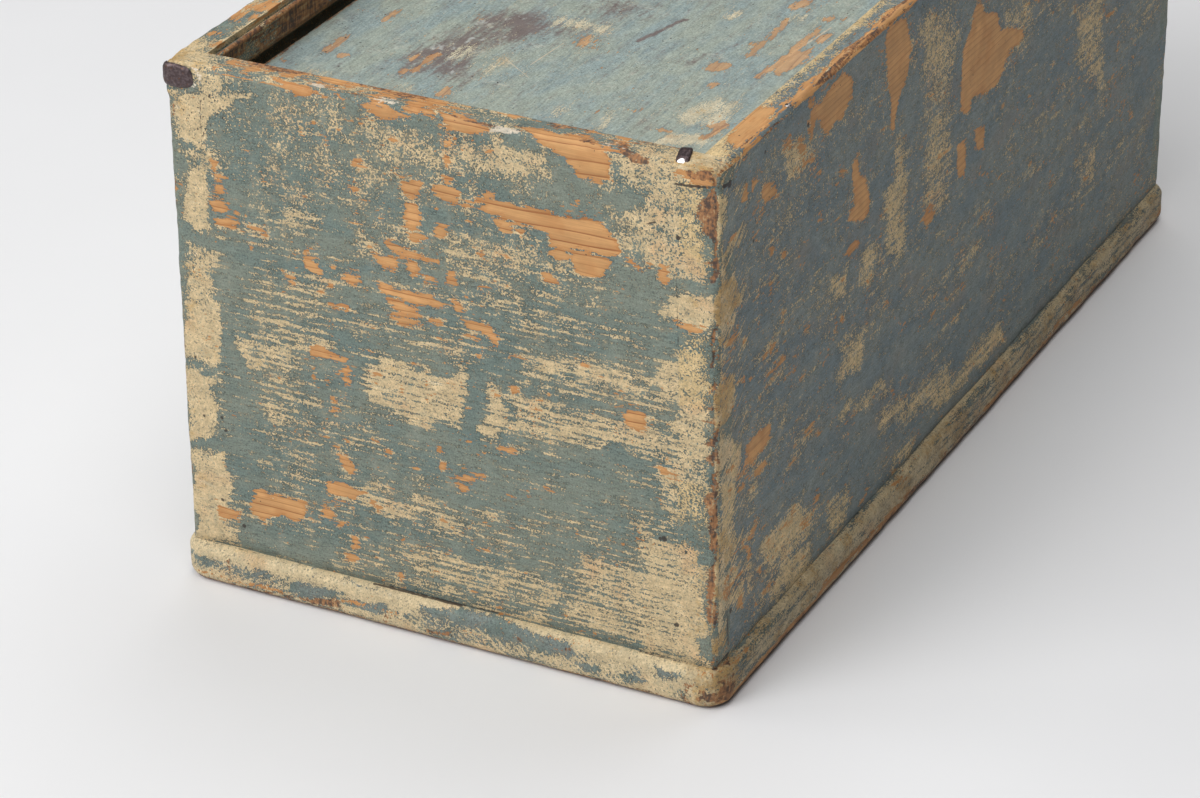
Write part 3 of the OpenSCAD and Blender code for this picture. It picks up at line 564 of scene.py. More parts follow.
def cut_places(bm, axis, step):
    """Even places for cuts along an axis, clear of the places where the mesh has vertices already."""
    have = np.unique([round(v.co[axis] / MM, 2) for v in bm.verts])
    count = max(1, round((have[-1] - have[0]) / step))
    want = np.linspace(have[0], have[-1], count + 1)[1:-1]
    return [float(v) for v in want if np.abs(have - v).min() > 0.3]


def dense(node, jobs):
    """A finely cut copy of a CAD node's mesh. jobs lists which faces get which spacing along the three axes.
    The faces of the last job are then halved once more."""
    bm = bmesh.new()
    bm.from_mesh(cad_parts[node].data)
    bmesh.ops.remove_doubles(bm, verts=bm.verts[:], dist=1e-6)
    bmesh.ops.dissolve_limit(bm, angle_limit=math.radians(0.3), verts=bm.verts[:], edges=bm.edges[:])
    for picks, steps in jobs:
        places = [cut_places(bm, axis, step) for axis, step in enumerate(steps)]
        faces = [f for f in bm.faces if picks(f.calc_center_median() / MM)]
        for axis in (1, 2, 0):
            faces = sliced(bm, faces, axis, places[axis])
    halved = list({edge for f in bm.faces if picks(f.calc_center_median() / MM) for edge in f.edges})
    bmesh.ops.subdivide_edges(bm, edges=halved, cuts=1, use_grid_fill=True)
    bm.normal_update()
    return bm


def close_joints(bm):
    """Fills the hairline gaps of the dovetails near the outside, where paint has closed them."""
    moves = {}
    for face in bm.faces:
        c, n = face.calc_center_median() / MM, face.normal
        in_joint = abs(c.x) > HALF_W - SIDE_T - 0.2 and abs(c.y) > HALF_L - END_T - 0.2
        outer = max(abs(c.x) - HALF_W, abs(c.y) - HALF_L) > -0.1 and max(abs(n.x), abs(n.y)) > 0.9
        if not in_joint or outer or c.z > RIM - 0.3 or c.z < FOOT + 0.3:
            continue
        for vert in face.verts:
            x, y = abs(vert.co.x) / MM, abs(vert.co.y) / MM
            if min(HALF_W - x, HALF_L - y) < 1.3:
                known = moves.setdefault(vert, [])
                if all(n.dot(other) < 0.9 for other in known):
                    known.append(n.copy())
    for vert, normals in moves.items():
        for n in normals:
            vert.co += n * JOINT_GAP / 2 * MM


def corner_push(p):
    """How far the front top corners are worn down, as shifts in mm."""
    x, y, z = p.T
    reach = sum(np.clip(1 - d / 9, 0, 1) for d in (HALF_W - np.abs(x), y + HALF_L, RIM - z)) - 1.85
    push = np.where(x < 0, 0.5, 1.2) * np.clip(reach, 0, 1)
    return np.stack([-np.sign(x) * push, push, -0.9 * push], axis=1)


def left_rim_bulge(p):
    """How far the left rim's outer arris and the left front corner stand fuller, as shifts in mm."""
    x, y, z = p.T
    away = [np.clip(WORN_R - d, 0, WORN_R) for d in (x + HALF_W, y + HALF_L, RIM - z)]
    out = np.zeros_like(p)
    for one, other, amount in ((0, 2, 0.85 * smooth(y, HALF_L - 5, HALF_L - 15)),
                               (0, 1, 1.1 * smooth(z, 160, 166)), (1, 2, 0.7 * smooth(x, -76, -84))):
        share = np.minimum(away[one], away[other]) / np.maximum(np.hypot(away[one], away[other]), 0.1)
        for axis in (one, other):
            out[:, axis] += (1 if axis == 2 else -1) * amount * share * away[axis] / WORN_R
    return out


def seen_on_front(p):
    """Where the photo's camera sees points of the front board, as x and z in the plane of its face."""
    x, y, z = p.T
    behind = np.clip(y + HALF_L, 0, 12)
    return np.stack([x + 0.508 * behind, z + 0.596 * behind], axis=1)


def arris_place(p):
    """Distance from the right front arris, negative on the front and positive on the side, and height."""
    x, y, z = p.T
    return np.stack([(y + HALF_L) - (HALF_W - x), z], axis=1)


def wear_walls(p):
    """Rounds and chips the outside of the walls, and fills the left rim's arris."""
    x, y, z = p.T
    dx, dy, dt = HALF_W - np.abs(x), HALF_L - np.abs(y), RIM - z
    out = p.copy()
    wavy = 0.12 + 0.10 * rough_noise(p, 55, 3) + 0.07 * rough_noise(p, 12, 5)
    bite = np.clip(0.30 + 0.50 * rough_noise(p, (9, 9, 7), 11) + 0.55 * rough_noise(p, 3.2, 13), 0, 1.4)
    low_edge = smooth(z - FOOT, 3.0, 0.0) * np.clip(0.25 + 0.5 * rough_noise(p, 14, 17), 0, 0.8)
    by_arris = smooth(np.minimum(HALF_W - x, y + HALF_L), 3, 1)
    gouge = 0.55 * by_arris * smooth(nearest(arris_place(p), ARRIS_BROWN), -1.2, 1.2)
    for axis, depth, other in ((0, dx, dy), (1, dy, dx)):
        arris = np.maximum(smooth(other, 4, 0.5), smooth(dt, 4, 0.5))
        push = np.clip(1 - depth / WORN_R, 0, 1) * (wavy + 0.55 * bite * arris + low_edge + gouge)
        out[:, axis] -= np.sign(p[:, axis]) * np.maximum(push, 0)
    arris = np.maximum(smooth(dx, 4, 0.5), smooth(dy, 4, 0.5))
    rough_top = 0.35 * bite * smooth(np.hypot(dx, y + HALF_L), 22, 12)
    out[:, 2] -= np.clip(1 - dt / WORN_R, 0, 1) * np.maximum(0.6 * wavy + 0.5 * bite * arris + rough_top, 0)
    return out + corner_push(p) + left_rim_bulge(p)


def wear_base(p):
    """Rounds and dents the base board's edges."""
    out = p.copy()
    push = np.clip(0.25 + 0.25 * rough_noise(p, 40, 21) + 0.4 * rough_noise(p, (8, 8, 5), 23), 0, 1.1)
    for axis, half in ((0, HALF_W), (1, HALF_L)):
        depth = half + PROUD - np.abs(p[:, axis])
        out[:, axis] -= np.sign(p[:, axis]) * np.clip(1 - depth / 5, 0, 1) * push
    return out


def wear_lid(p):
    """Makes the lid's top slightly uneven."""
    out = p.copy()
    near = np.clip(1 - (LID_TOP - p[:, 2]) / 3, 0, 1)
    out[:, 2] -= near * np.clip(0.10 + 0.12 * rough_noise(p, (25, 120, 50), 31), 0, 0.4)
    return out


def finished(name, mesh, material, node, body):
    """Makes a piece of a mesh, in a CAD node's place."""
    mesh.polygons.foreach_set("use_smooth", [True] * len(mesh.polygons))
    mesh.set_sharp_from_angle(angle=math.radians(32))
    mesh.update()
    piece = bpy.data.objects.new(name, mesh)
    bpy.context.scene.collection.objects.link(piece)
    mesh.materials.append(material)
    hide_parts(node)
    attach(piece, body)


def dressed(node, jobs, wear, fields, material, body="box", joined=False):
    """Puts a worn, finely cut piece in a CAD node's place. Its wear is in fields that the materials read."""
    bm = dense(node, jobs)
    if joined:
        close_joints(bm)
    mesh = bpy.data.meshes.new("worn_" + node)
    bm.to_mesh(mesh)
    bm.free()
    co = np.empty(len(mesh.vertices) * 3)
    mesh.vertices.foreach_get("co", co)
    p = co.reshape(-1, 3) / MM
    for name, values in fields(p).items():
        layer = mesh.attributes.new(name, "FLOAT", "POINT")
        layer.data.foreach_set("value", np.array(np.broadcast_to(values, len(p)), np.float32))
    mesh.vertices.foreach_set("co", (wear(p) * MM).ravel())
    finished("worn_" + node, mesh, material, node, body)


def lump(node, material, half_sizes, corners, height, seed, surface, rings=12, turns=56):
    """A hammered nail head: a dome over a rounded outline, closed below. surface takes two distances along
    what it lies on and one away from it, all in mm, and gives places."""
    turn = np.linspace(0, 2 * math.pi, turns, endpoint=False)
    outline = (np.abs(np.cos(turn)) ** corners + np.abs(np.sin(turn)) ** corners) ** (-1 / corners)
    ring = np.stack([np.cos(turn), np.sin(turn), np.zeros(turns)], axis=1)
    outline = outline * (1 + 0.05 * noise(ring * 1.3, 1, seed) + 0.035 * noise(ring * 4, 1, seed + 1))
    shares = np.linspace(0, 1, rings + 1)[1:]
    rows = np.array([share * outline for share in (*shares, 0.93)])
    heights = np.repeat([*(height * (1 - shares ** 3.2) ** 0.6), -0.5], turns)
    a, b = (half_sizes[0] * rows * np.cos(turn)).ravel(), (half_sizes[1] * rows * np.sin(turn)).ravel()
    flat = np.stack([a, b, np.zeros(a.size)], axis=1)
    dents = 0.5 * height * (0.5 * noise(flat, 2.6, seed + 2) + 0.3 * noise(flat, 1.1, seed + 3))
    lift = heights + np.where(heights > 0.02, dents * smooth(heights, 0, height), 0)
    places = surface(np.append(a, [0, 0]), np.append(b, [0, 0]), np.append(lift, [height, -0.5]))
    last = rings * turns
    top, foot = last + turns, last + turns + 1
    faces = []
    for k in range(turns):
        after = (k + 1) % turns
        faces += [(top, k, after), (foot, last + after, last + k)]
        faces += [(r + k, r + turns + k, r + turns + after, r + after) for r in range(0, last, turns)]
    mesh = bpy.data.meshes.new("hammered_" + node)
    mesh.from_pydata([tuple(v) for v in places * MM], [], faces)
    bm = bmesh.new()
    bm.from_mesh(mesh)
    bmesh.ops.recalc_face_normals(bm, faces=bm.faces[:])
    bm.to_mesh(mesh)
    bm.free()
    finished("hammered_" + node, mesh, material, node, "box")


def round_the_corner(a, b, lift):
    """Places on the walls' left front arris, a mm round it to the front and b mm above the nail's middle."""
    radius = WORN_R - 0.5
    along_arc = a + 3.1
    quarter = radius * math.pi / 4
    angle = np.clip(along_arc / radius, -math.pi / 4, math.pi / 4) + math.pi / 4
    reach = radius + lift
    x = -HALF_W + radius - reach * np.cos(angle) + np.maximum(along_arc - quarter, 0)
    y = -HALF_L + radius - reach * np.sin(angle) + np.maximum(-along_arc - quarter, 0)
    return np.stack([x, y, 170.0 + b], axis=1)


def on_the_edge(a, b, lift):
    """Places on the front board's top, a mm across the long nail and b mm along it, bevelled at the front."""
    turn = math.radians(17)
    x = 76.2 + a * math.cos(turn) - b * math.sin(turn)
    y = -182.6 + a * math.sin(turn) + b * math.cos(turn)
    return np.stack([x, y, RIM + lift - 0.85 * np.maximum(-2.9 - b, 0)], axis=1)


def in_the_rim(a, b, lift):
    """Places on top of the right side's rim."""
    return np.stack([88 + a, -138.9 + b, RIM - 0.1 + lift], axis=1)


# ---------------------------------------------------------------- wear of each board

def wall_fields(p):
    """Wear of the walls: bare wood, brown and chalk in mm inside their borders, and shares of the rest."""
    x, y, z = p.T
    dx, dy, dt = HALF_W - np.abs(x), HALF_L - np.abs(y), RIM - z
    xz, yz, xy = seen_on_front(p), p[:, (1, 2)], p[:, :2]
    xz_chip, yz_chip, xy_chip = (wandering(p, flat, (5, 0.8, 101), (2.2, 0.4, 103)) for flat in (xz, yz, xy))
    xz_veil, yz_veil = (wandering(p, flat, (8, 2.8, 105), (3, 1.4, 107)) for flat in (xz, yz))
    by_arris = wandering(p, arris_place(p), (3, 0.6, 111))
    on_front = smooth(y + HALF_L, 3.2, 1.2)
    on_right = smooth(HALF_W - x, 3.2, 1.2) * (1 - on_front)
    seen = np.maximum(on_front, on_right)
    elsewhere = 1 - seen
    on_top = smooth(dt, 2.2, 0.8)
    near_front_edge = y < 10 - HALF_L

    # The rims: across them from the outer arris, and along them
    across = np.minimum(dx, dy)
    along_rim = np.where((dx < dy)[:, None], p, p[:, (1, 0, 2)])
    streaks = rough_noise(along_rim, (1.3, 20, 3), 43)
    blotches = rough_noise(p, (5, 7, 5), 44)
    inner = smooth(across, 8.4, 9.0)
    front_rim = smooth(dx - dy, -1, 1)
    left_rim, right_rim = (1 - front_rim) * (x < 0), (1 - front_rim) * (x > 0)
    corner = smooth(np.hypot(dx * np.where(x > 0, 0.55, 1), y + HALF_L) + 5 * noise(p, 6, 60), 19, 13)
    front_wood, front_brown, chalk = (np.where(near_front_edge, nearest(xz_chip, outlines), -FAR)
                                      for outlines in (FRONT_WOOD, FRONT_BROWN, FRONT_CHALK))

    # Chips of paint down to the wood
    random_wood = 9 * (rough_noise(p, (16, 22, 16), 41) - 0.42)
    small_wood = rough_noise(p, (4.5, 9, 3.2), 42) - 0.52 - 0.25 * on_front * smooth(np.abs(x + 10), 30, 50)
    small_wood += on_right * (0.05 * smooth(y, -130, -160) - 0.10 * smooth(y, -125, -95))
    face_wood = most(4 * small_wood - 3 * elsewhere, only(random_wood, elsewhere),
                     only(front_wood + 0.2, on_front), only(nearest(yz_chip, RIGHT_WOOD), on_right))
    rim_wood = front_rim * (0.6 * streaks + 0.7 * blotches - 0.17 + 0.16 * inner)
    rim_wood += left_rim * (blotches - 0.18)
    rim_wood += right_rim * (streaks - 0.40 + 0.5 * smooth(across, 5.5, 3.5) + 0.3 * blotches - inner)
    top_wood = most(3.0 * (rim_wood - 0.5 * corner), front_wood, nearest(xy_chip, RIM_WOOD))
    wood = np.where(on_top > 0.5, top_wood, face_wood)

    # Rubbed brown arrises
    ragged = rough_noise(p, (4, 4, 3.5), 47)
    upright = np.hypot(dx, dy)
    crest = np.minimum(np.hypot(dy, dt), np.hypot(dx, dt))
    right_front = np.hypot(HALF_W - x, y + HALF_L)
    near_arris = smooth(right_front, 30, 25) * seen
    along_arris = smooth(z, 14, 32) * smooth(z, 128, 108)
    brown = most(0.9 + 1.1 * ragged + 0.5 * noise(p, 25, 49) - crest, 0.5 + 1.5 * ragged - upright,
                 only(nearest(by_arris, ARRIS_BROWN) + 0.1, near_arris),
                 0.7 + 2.3 * rough_noise(p, (3, 3, 4.5), 85) - right_front - 8 * (1 - along_arris))
    rim_streaks = rough_noise(along_rim, (1.2, 13, 3), 45)
    rim_brown = front_rim * (rim_streaks - 0.42 + 0.5 * inner) + left_rim * (rim_streaks - 0.6)
    rim_brown += right_rim * (rim_streaks - 0.50 + 0.45 * smooth(across, 3.5, 1.5) - inner)
    brown = np.where(on_top > 0.5, np.maximum(brown - 0.8, 3.0 * (rim_brown - 0.2 * corner)), brown)
    brown = np.maximum(brown, front_brown)

    # Cream showing through the blue
    bands = 0.17 * noise(p, (6, 10, 26), 50) + 0.12 * noise(p, (45, 45, 3.4), 52)
    ground = 0.20 + 0.22 * rough_noise(p, (22, 30, 12), 51) + 0.08 * rough_noise(p, (60, 60, 40), 53) + bands
    lumps = 0.20 * rough_noise(p, 5, 54) + 0.10 * noise(p, (30, 30, 2.2), 55)
    front = 0.9 * laid(xz_veil, FRONT_CREAM, np.maximum(ground, 0.08)) + lumps
    front *= 1 - 0.88 * cover(xz_veil, FRONT_BLUE)
    right_ground = 0.8 * ground - 0.04 + 0.12 * smooth(y, -120, -165)
    right = laid(yz_veil, RIGHT_CREAM, np.maximum(right_ground, -0.05)) + lumps
    patchy = smooth(rough_noise(p, (20, 20, 30), 57), -0.2, 0.3)
    other = ground + 0.6 * smooth(upright, 18, 8) * patchy + lumps
    cream = front * on_front + right * on_right + other * elsewhere
    cream_by_arris = cover(by_arris, ARRIS_CREAM) * near_arris * (1 - 0.36 * on_right) + 0.5 * lumps
    rim = 0.6 * rough_noise(along_rim, (3, 12, 5), 59) + front_rim * 0.30 + left_rim * 0.30
    rim += right_rim * (0.05 + 0.22 * smooth(across, 4, 6) + 0.35 * noise(p, (3, 6, 3), 83))
    # Cream along the side rims' inner arrises: worn paint, and a painted highlight of the light line along
    # them
    rim += (left_rim + right_rim) * 0.55 * inner + 0.6 * corner
    cream = np.maximum(cream, cream_by_arris) * (1 - on_top) + rim * on_top

    # Striped along the grain low down, speckled near the rim
    end_grain = smooth(dx, SIDE_T + 1, SIDE_T - 1) * on_front
    end_grain += smooth(dy, END_T + 1, END_T - 1) * (1 - on_front)
    stripes = (0.2 + 0.7 * smooth(z, 150, 118) * (1 - 0.6 * on_right)) * (1 - 0.7 * end_grain)
    ochre = 0.35 * smooth(upright, 14, 1) + cover(by_arris, ARRIS_OCHRE) * near_arris + 0.5 * corner * on_top
    stroked = on_right * smooth(y, -165, -172)
    # Darker just above the base, which is dirt and painted shade in the crease there, and along the upright
    # corners, which is dirt
    grime_and_shade = smooth(z, FOOT + 4, FOOT) * 0.7 + smooth(upright, 3, 0.5) * 0.3
    pitted = on_front * smooth(np.hypot((x + 77) / 8, (z - 159) / 10), 1.3, 0.5)

    # The sides' lips over the lid's edges, and the unpainted faces inside the walls and below them
    in_side = dx < dy
    past_bead = smooth(across, 9.6, 10.2)
    lip = in_side * past_bead * smooth(across, 11.3, 10.9) * smooth(z, 163.6, 164.2)
    wood = np.where(lip > 0.5, 3.0 * (rough_noise(along_rim, (5, 14, 4), 62) - 0.05), wood)
    brown = np.where(lip > 0.5, 3.0 * (rough_noise(along_rim, (5, 11, 3), 64) + 0.10), brown)
    inside_side = np.maximum(smooth(across, 10.9, 11.3), past_bead * smooth(z, 164.2, 163.8))
    inside_end = smooth(across, 9.2, 9.4) * smooth(z, 162, 160)
    underside = smooth(z, FOOT + 0.3, FOOT) * smooth(across, 1.5, 3.5)
    hidden = np.maximum(np.where(in_side, inside_side, inside_end), underside)
    return dict(wood=capped(wood), brown=capped(brown), cream=cream, stripes=stripes, ochre=ochre,
                grime_and_shade=grime_and_shade, hidden=hidden, pitted=pitted, chalk=chalk, stroked=stroked, on_front=on_front)


def base_fields(p):
    """Wear of the base board's edges and underside."""
    x, y, z = p.T
    dx, dy = HALF_W + PROUD - np.abs(x), HALF_L + PROUD - np.abs(y)
    along_edge = np.where((dy < dx)[:, None], p, p[:, (1, 0, 2)])
    xz = wandering(p, p[:, (0, 2)], (5, 0.8, 113), (2, 0.4, 115))
    front = smooth(y + HALF_L, 5, 2)
    right = smooth(dx, 5, 2) * (x > 0)
    corner = smooth(np.hypot(dx, dy), 18, 7) * (x > 0) * (y < 0)

    low_wood = only(2.2, smooth(z, 2.2, 0.4)) + 2 * rough_noise(p, 20, 63) - 2.5 * front
    right_wood = 7 * (rough_noise(along_edge, (40, 6, 2.2), 70) - 0.10 - 0.5 * smooth(z, 3, 8))
    wood = most(5 * (rough_noise(along_edge, (30, 6, 3), 61) - 0.62), low_wood,
                right * right_wood - FAR * (1 - right))
    torn = corner * smooth(rough_noise(p, 3.2, 69) + 0.3 * smooth(z, 9, 3), 0.0, 0.35)
    brown = most(1.4 + 1.6 * rough_noise(along_edge, (25, 6, 3), 65) - z,
                 0.9 + 1.3 * rough_noise(along_edge, (30, 5, 4), 66) - z / 3 - 3 * front,
                 only(nearest(xz, BASE_BROWN), front), 3.0 * torn - 1.4)
    other = 0.70 + 0.5 * rough_noise(along_edge, (24, 8, 3.4), 67) - 0.12 * (1 - front)
    pale = 0.61 + 0.62 * rough_noise(along_edge, (14, 6, 2.2), 68) + 0.40 * smooth(z, 8, 11.5)
    pale = (pale + 0.12 * smooth(x, 20, 60)) * (1 - 0.95 * cover(xz, BASE_BLUE))
    cream = np.maximum(np.where(front > 0.5, pale, other), corner * 0.9)
    hidden = smooth(z, 0.25, 0.05) + smooth(np.minimum(dx, dy), 4.2, 4.8)
    return dict(wood=capped(wood), brown=capped(brown), cream=cream, stripes=0.75,
                ochre=0.1 + 0.75 * corner + 0.4 * right, chalk=-FAR,
                # Darker along the bottom edge and over the whole right side, which faces away from the lamps:
                # painted shade, with some dirt
                grime_and_shade=smooth(z, 2.5, 0) * 0.9 + 0.9 * right + 0.1 * corner,
                hidden=np.clip(hidden, 0, 1))


def lid_fields(p):
    """Wear of the lid's top. Towards the back end, where it is pushed, hands have worn it most."""
    x, y, z = p.T
    chip = wandering(p, p[:, :2], (5, 0.8, 117), (2.2, 0.4, 119))
    veil = wandering(p, p[:, :2], (9, 2.5, 121))
    back = smooth(y, -60, -20)
    handled = smooth(np.hypot(x / 1.3, y - 160) + 6 * rough_noise(p, (7, 14, 9), 76), 27, 17)
    specks = 7 * (rough_noise(p, (4, 22, 20), 71) - 0.66 + 0.12 * back + 0.35 * handled)
    wood = np.maximum(nearest(chip, LID_WOOD) + 0.2, specks)
    brown = 0.6 + 0.8 * rough_noise(p, (4, 12, 4), 77) - np.minimum(x - LID_LEFT, LID_RIGHT - x)
    ground = -0.02 + 0.14 * rough_noise(p, (9, 50, 30), 73) + 0.08 * noise(p, (4, 20, 9), 74)
    cream = laid(veil, LID_CREAM, ground)
    cream += 0.30 * handled + 0.25 * back * smooth(rough_noise(p, (14, 26, 9), 79), 0.2, 0.6)
    stain = cover(veil, LID_STAIN) * (0.80 + 0.62 * rough_noise(p, (5, 12, 10), 75))
    stain = np.maximum(stain, 0.75 * back * smooth(rough_noise(p, (16, 40, 20), 82), 0.38, 0.75))
    return dict(wood=capped(wood), brown=capped(brown), cream=cream, stripes=0.7, ochre=0, grime_and_shade=0,
                hidden=1 - smooth(LID_TOP - z, 1.5, 0.6), stain=stain)


# ---------------------------------------------------------------- materials

class Look:
    """A node material, written as short steps. grain is the axis that its wood grows along."""

    def __init__(self, name, grain=1):
        self.material = bpy.data.materials.new(name)
        self.material.use_nodes = True
        self.tree = self.material.node_tree
        self.tree.nodes.clear()
        self.grain = grain
        self.mm = self.vector("SCALE", self.node("ShaderNodeTexCoord").outputs["Object"], 1 / MM)
        self.shader = self.node("ShaderNodeBsdfPrincipled")
        self.tree.links.new(self.shader.outputs[0], self.node("ShaderNodeOutputMaterial").inputs["Surface"])

    def node(self, kind, **settings):
        made = self.tree.nodes.new(kind)
        for name, value in settings.items():
            setattr(made, name, value)
        return made

    def put(self, socket, value):
        if isinstance(value, bpy.types.NodeSocket):
            self.tree.links.new(value, socket)
        elif isinstance(value, tuple) and len(value) == 3 and socket.type == "RGBA":
            socket.default_value = (*value, 1)
        else:
            socket.default_value = value

    def math(self, operation, a, b=0.0, c=0.0, clamp=False):
        node = self.node("ShaderNodeMath", operation=operation, use_clamp=clamp)
        for socket, value in zip(node.inputs, (a, b, c)):
            self.put(socket, value)
        return node.outputs[0]

    def vector(self, operation, a, b=(0, 0, 0), c=(0, 0, 0)):
        """Vector steps. DOT_PRODUCT, LENGTH and DISTANCE give a number, the others a vector."""
        node = self.node("ShaderNodeVectorMath", operation=operation)
        self.put(node.inputs[0], a)
        self.put(node.inputs["Scale"] if operation == "SCALE" else node.inputs[1], b)
        self.put(node.inputs[2], c)
        return node.outputs["Value" if operation in ("DOT_PRODUCT", "LENGTH", "DISTANCE") else "Vector"]

    def add(self, *terms):
        """Sum of values and of (value, factor) pairs."""
        total = None
        for term in terms:
            if isinstance(term, tuple):
                total = self.math("MULTIPLY_ADD", term[0], term[1], 0.0 if total is None else total)
            else:
                total = term if total is None else self.math("ADD", total, term)
        return total

    def times(self, a, b):
        return self.math("MULTIPLY", a, b)

    def most(self, a, b):
        return self.math("MAXIMUM", a, b)

    def less(self, a):
        return self.math("SUBTRACT", 1.0, a)

    def mix(self, amount, a, b):
        """From one number to another."""
        return self.math("MULTIPLY_ADD", amount, self.math("SUBTRACT", b, a), a)

    def step(self, value, low, high, top=1.0):
        """Rises smoothly from 0 at low to top at high."""
        node = self.node("ShaderNodeMapRange", interpolation_type="SMOOTHSTEP")
        for name, number in (("Value", value), ("From Min", low), ("From Max", high), ("To Max", top)):
            self.put(node.inputs[name], number)
        return node.outputs["Result"]

    def texture(self, place, detail, warp=0.0):
        """Noise centred on 0, mostly between -1 and 1."""
        node = self.node("ShaderNodeTexNoise")
        for name, value in (("Vector", place), ("Scale", 1.0), ("Detail", detail), ("Distortion", warp)):
            self.put(node.inputs[name], value)
        return self.math("MULTIPLY_ADD", node.outputs["Fac"], 4.0, -2.0)

    def noise(self, size, seed, detail=1, warp=0.0):
        """Noise with a grain of size mm, which is one number or one an axis."""
        size = size if isinstance(size, tuple) else (size, size, size)
        shift = (seed * 3.7, seed * 5.3, seed * 7.9)
        place = self.vector("MULTIPLY_ADD", self.mm, tuple(1 / s for s in size), shift)
        return self.texture(place, detail, warp)

    def grained(self, length, width, seed, detail=1, warp=0.0):
        """Noise that is stretched along the wood's grain."""
        size = tuple(length if axis == self.grain else width for axis in range(3))
        return self.noise(size, seed, detail, warp)

    def strokes(self, length, width, seed):
        """Noise in slanting brush strokes on a side."""
        node = self.node("ShaderNodeCombineXYZ")
        self.put(node.inputs[0], self.vector("DOT_PRODUCT", self.mm, (0, 0.82 / length, 0.57 / length)))
        self.put(node.inputs[1], self.vector("DOT_PRODUCT", self.mm, (0, -0.57 / width, 0.82 / width)))
        self.put(node.inputs[2], float(seed))
        return self.texture(node.outputs[0], 2)

    def field(self, name):
        """A value that the piece's mesh carries."""
        return self.node("ShaderNodeAttribute", attribute_type="GEOMETRY", attribute_name=name).outputs["Fac"]

    def blend(self, amount, a, b):
        """From one colour to another."""
        node = self.node("ShaderNodeMix", data_type="RGBA")
        self.put(node.inputs["Factor"], amount)
        self.put(node.inputs[6], a)
        self.put(node.inputs[7], b)
        return node.outputs[2]

    def toward(self, color, target, value, low, high, top=1.0):
        """Blends a colour towards a target, by a step of value."""
        return self.blend(self.step(value, low, high, top), color, target)

    def shade(self, color, value, amount):
        """Makes a colour lighter where value is positive and darker where it is negative."""
        return self.vector("SCALE", color, self.math("MULTIPLY_ADD", value, amount, 1.0))

    def least(self, gaps, wobble):
        """The smallest of several distances, with a wobble added."""
        total = gaps[0]
        for gap in gaps[1:]:
            total = self.math("MINIMUM", total, gap)
        return self.add(total, wobble)

    def holes(self, holes, wobble):
        """Distance in mm outside the nearest hole."""
        gaps = []
        for middle, radius in holes:
            gaps.append(self.math("SUBTRACT", self.vector("DISTANCE", self.mm, middle), radius))
        return self.least(gaps, wobble)

    def cracks(self, cracks, wobble):
        """Distance in mm outside the nearest crack."""
        gaps = []
        for start, end, half in cracks:
            run = tuple(b - a for a, b in zip(start, end))
            size = sum(r * r for r in run)
            away = self.vector("SUBTRACT", self.mm, start)
            share = self.vector("DOT_PRODUCT", away, tuple(r / size for r in run))
            share = self.math("MULTIPLY", share, 1.0, clamp=True)
            off = self.vector("SUBTRACT", away, self.vector("SCALE", run, share))
            gaps.append(self.math("SUBTRACT", self.vector("LENGTH", off), half))
        return self.least(gaps, wobble)

    def relief(self, height, depth_mm, strength):
        """Bumps in the surface, from a height between 0 and 1."""
        node = self.node("ShaderNodeBump")
        for name, value in (("Strength", strength), ("Distance", depth_mm * MM), ("Height", height)):
            self.put(node.inputs[name], value)
        self.put(self.shader.inputs["Normal"], node.outputs[0])

    def finish(self, color, rough, specular=0.4):
        self.put(self.shader.inputs["Base Color"], color)
        self.put(self.shader.inputs["Roughness"], rough)
        self.shader.inputs["Specular IOR Level"].default_value = specular
        return self.material


def pine(m, heart, pitch=1.7, pale=(0.62, 0.335, 0.135), late=(0.27, 0.085, 0.022), contrast=0.85):
    """Pine with growth rings round a line along the grain, which passes through heart. Gives colour, relief
    and a wave with the rings."""
    wander = m.grained(110, 16, 2, 2)
    squeeze = tuple(0 if axis == m.grain else 1 / pitch for axis in range(3))
    from_heart = m.vector("MULTIPLY_ADD", m.mm, squeeze, tuple(-h * s for h, s in zip(heart, squeeze)))
    turns = m.add(m.vector("LENGTH", from_heart), (wander, 0.9))
    ring = m.math("FRACT", turns)
    line = m.times(m.step(ring, 0.80, 0.90), m.less(m.step(ring, 0.93, 0.97)))
    band = m.add((m.times(m.step(ring, 0.35, 0.92), m.less(m.step(ring, 0.93, 0.98))), 0.35), (line, 0.65))
    fibre = m.grained(9, 0.35, 5, 2)
    strength = m.step(m.grained(200, 7, 6), -1.6, 0.7, contrast)
    color = m.blend(m.times(band, strength), pale, late)
    color = m.shade(color, fibre, 0.12)
    color = m.shade(color, m.grained(40, 8, 9), 0.12)
    wave = m.math("SINE", m.times(turns, 2 * math.pi))
    return color, m.add((band, 0.6), (fibre, 0.35)), wave


WALL_BLUE, WALL_BLUER = (0.205, 0.236, 0.192), (0.155, 0.205, 0.182)
BLUE_UNDER, BLUE_VEIL, BLUE_HAZE = (0.12, 0.20, 0.23), (0.40, 0.40, 0.31), (0.225, 0.195, 0.165)
CREAM_TAN, CREAM_OCHRE, CREAM_PALE = (0.62, 0.40, 0.21), (0.48, 0.30, 0.11), (0.70, 0.63, 0.46)
CREAM_WASHED = (0.37, 0.35, 0.24)
LID_PALE, LID_DEEP = (0.47, 0.50, 0.42), (0.17, 0.24, 0.275)
LID_SCUFFED, LID_SCRATCHED = (0.53, 0.54, 0.46), (0.62, 0.52, 0.38)
STAIN_DARK, STAIN_WORN = (0.170, 0.125, 0.118), (0.47, 0.48, 0.45)
BROWN_DARK, BROWN_BARE, BROWN_PALE = (0.085, 0.050, 0.038), (0.39, 0.175, 0.068), (0.52, 0.36, 0.19)
WOOD_AGED, WOOD_INSIDE, WOOD_DUSTY = (0.47, 0.195, 0.058), (0.30, 0.16, 0.07), (0.22, 0.13, 0.07)
CHALK, DIRT_AND_SHADE, PIT = (0.70, 0.61, 0.48), (0.080, 0.095, 0.085), (0.035, 0.024, 0.02)
RUST, GLINT_IRON = (0.16, 0.075, 0.04), (0.92, 0.90, 0.88)


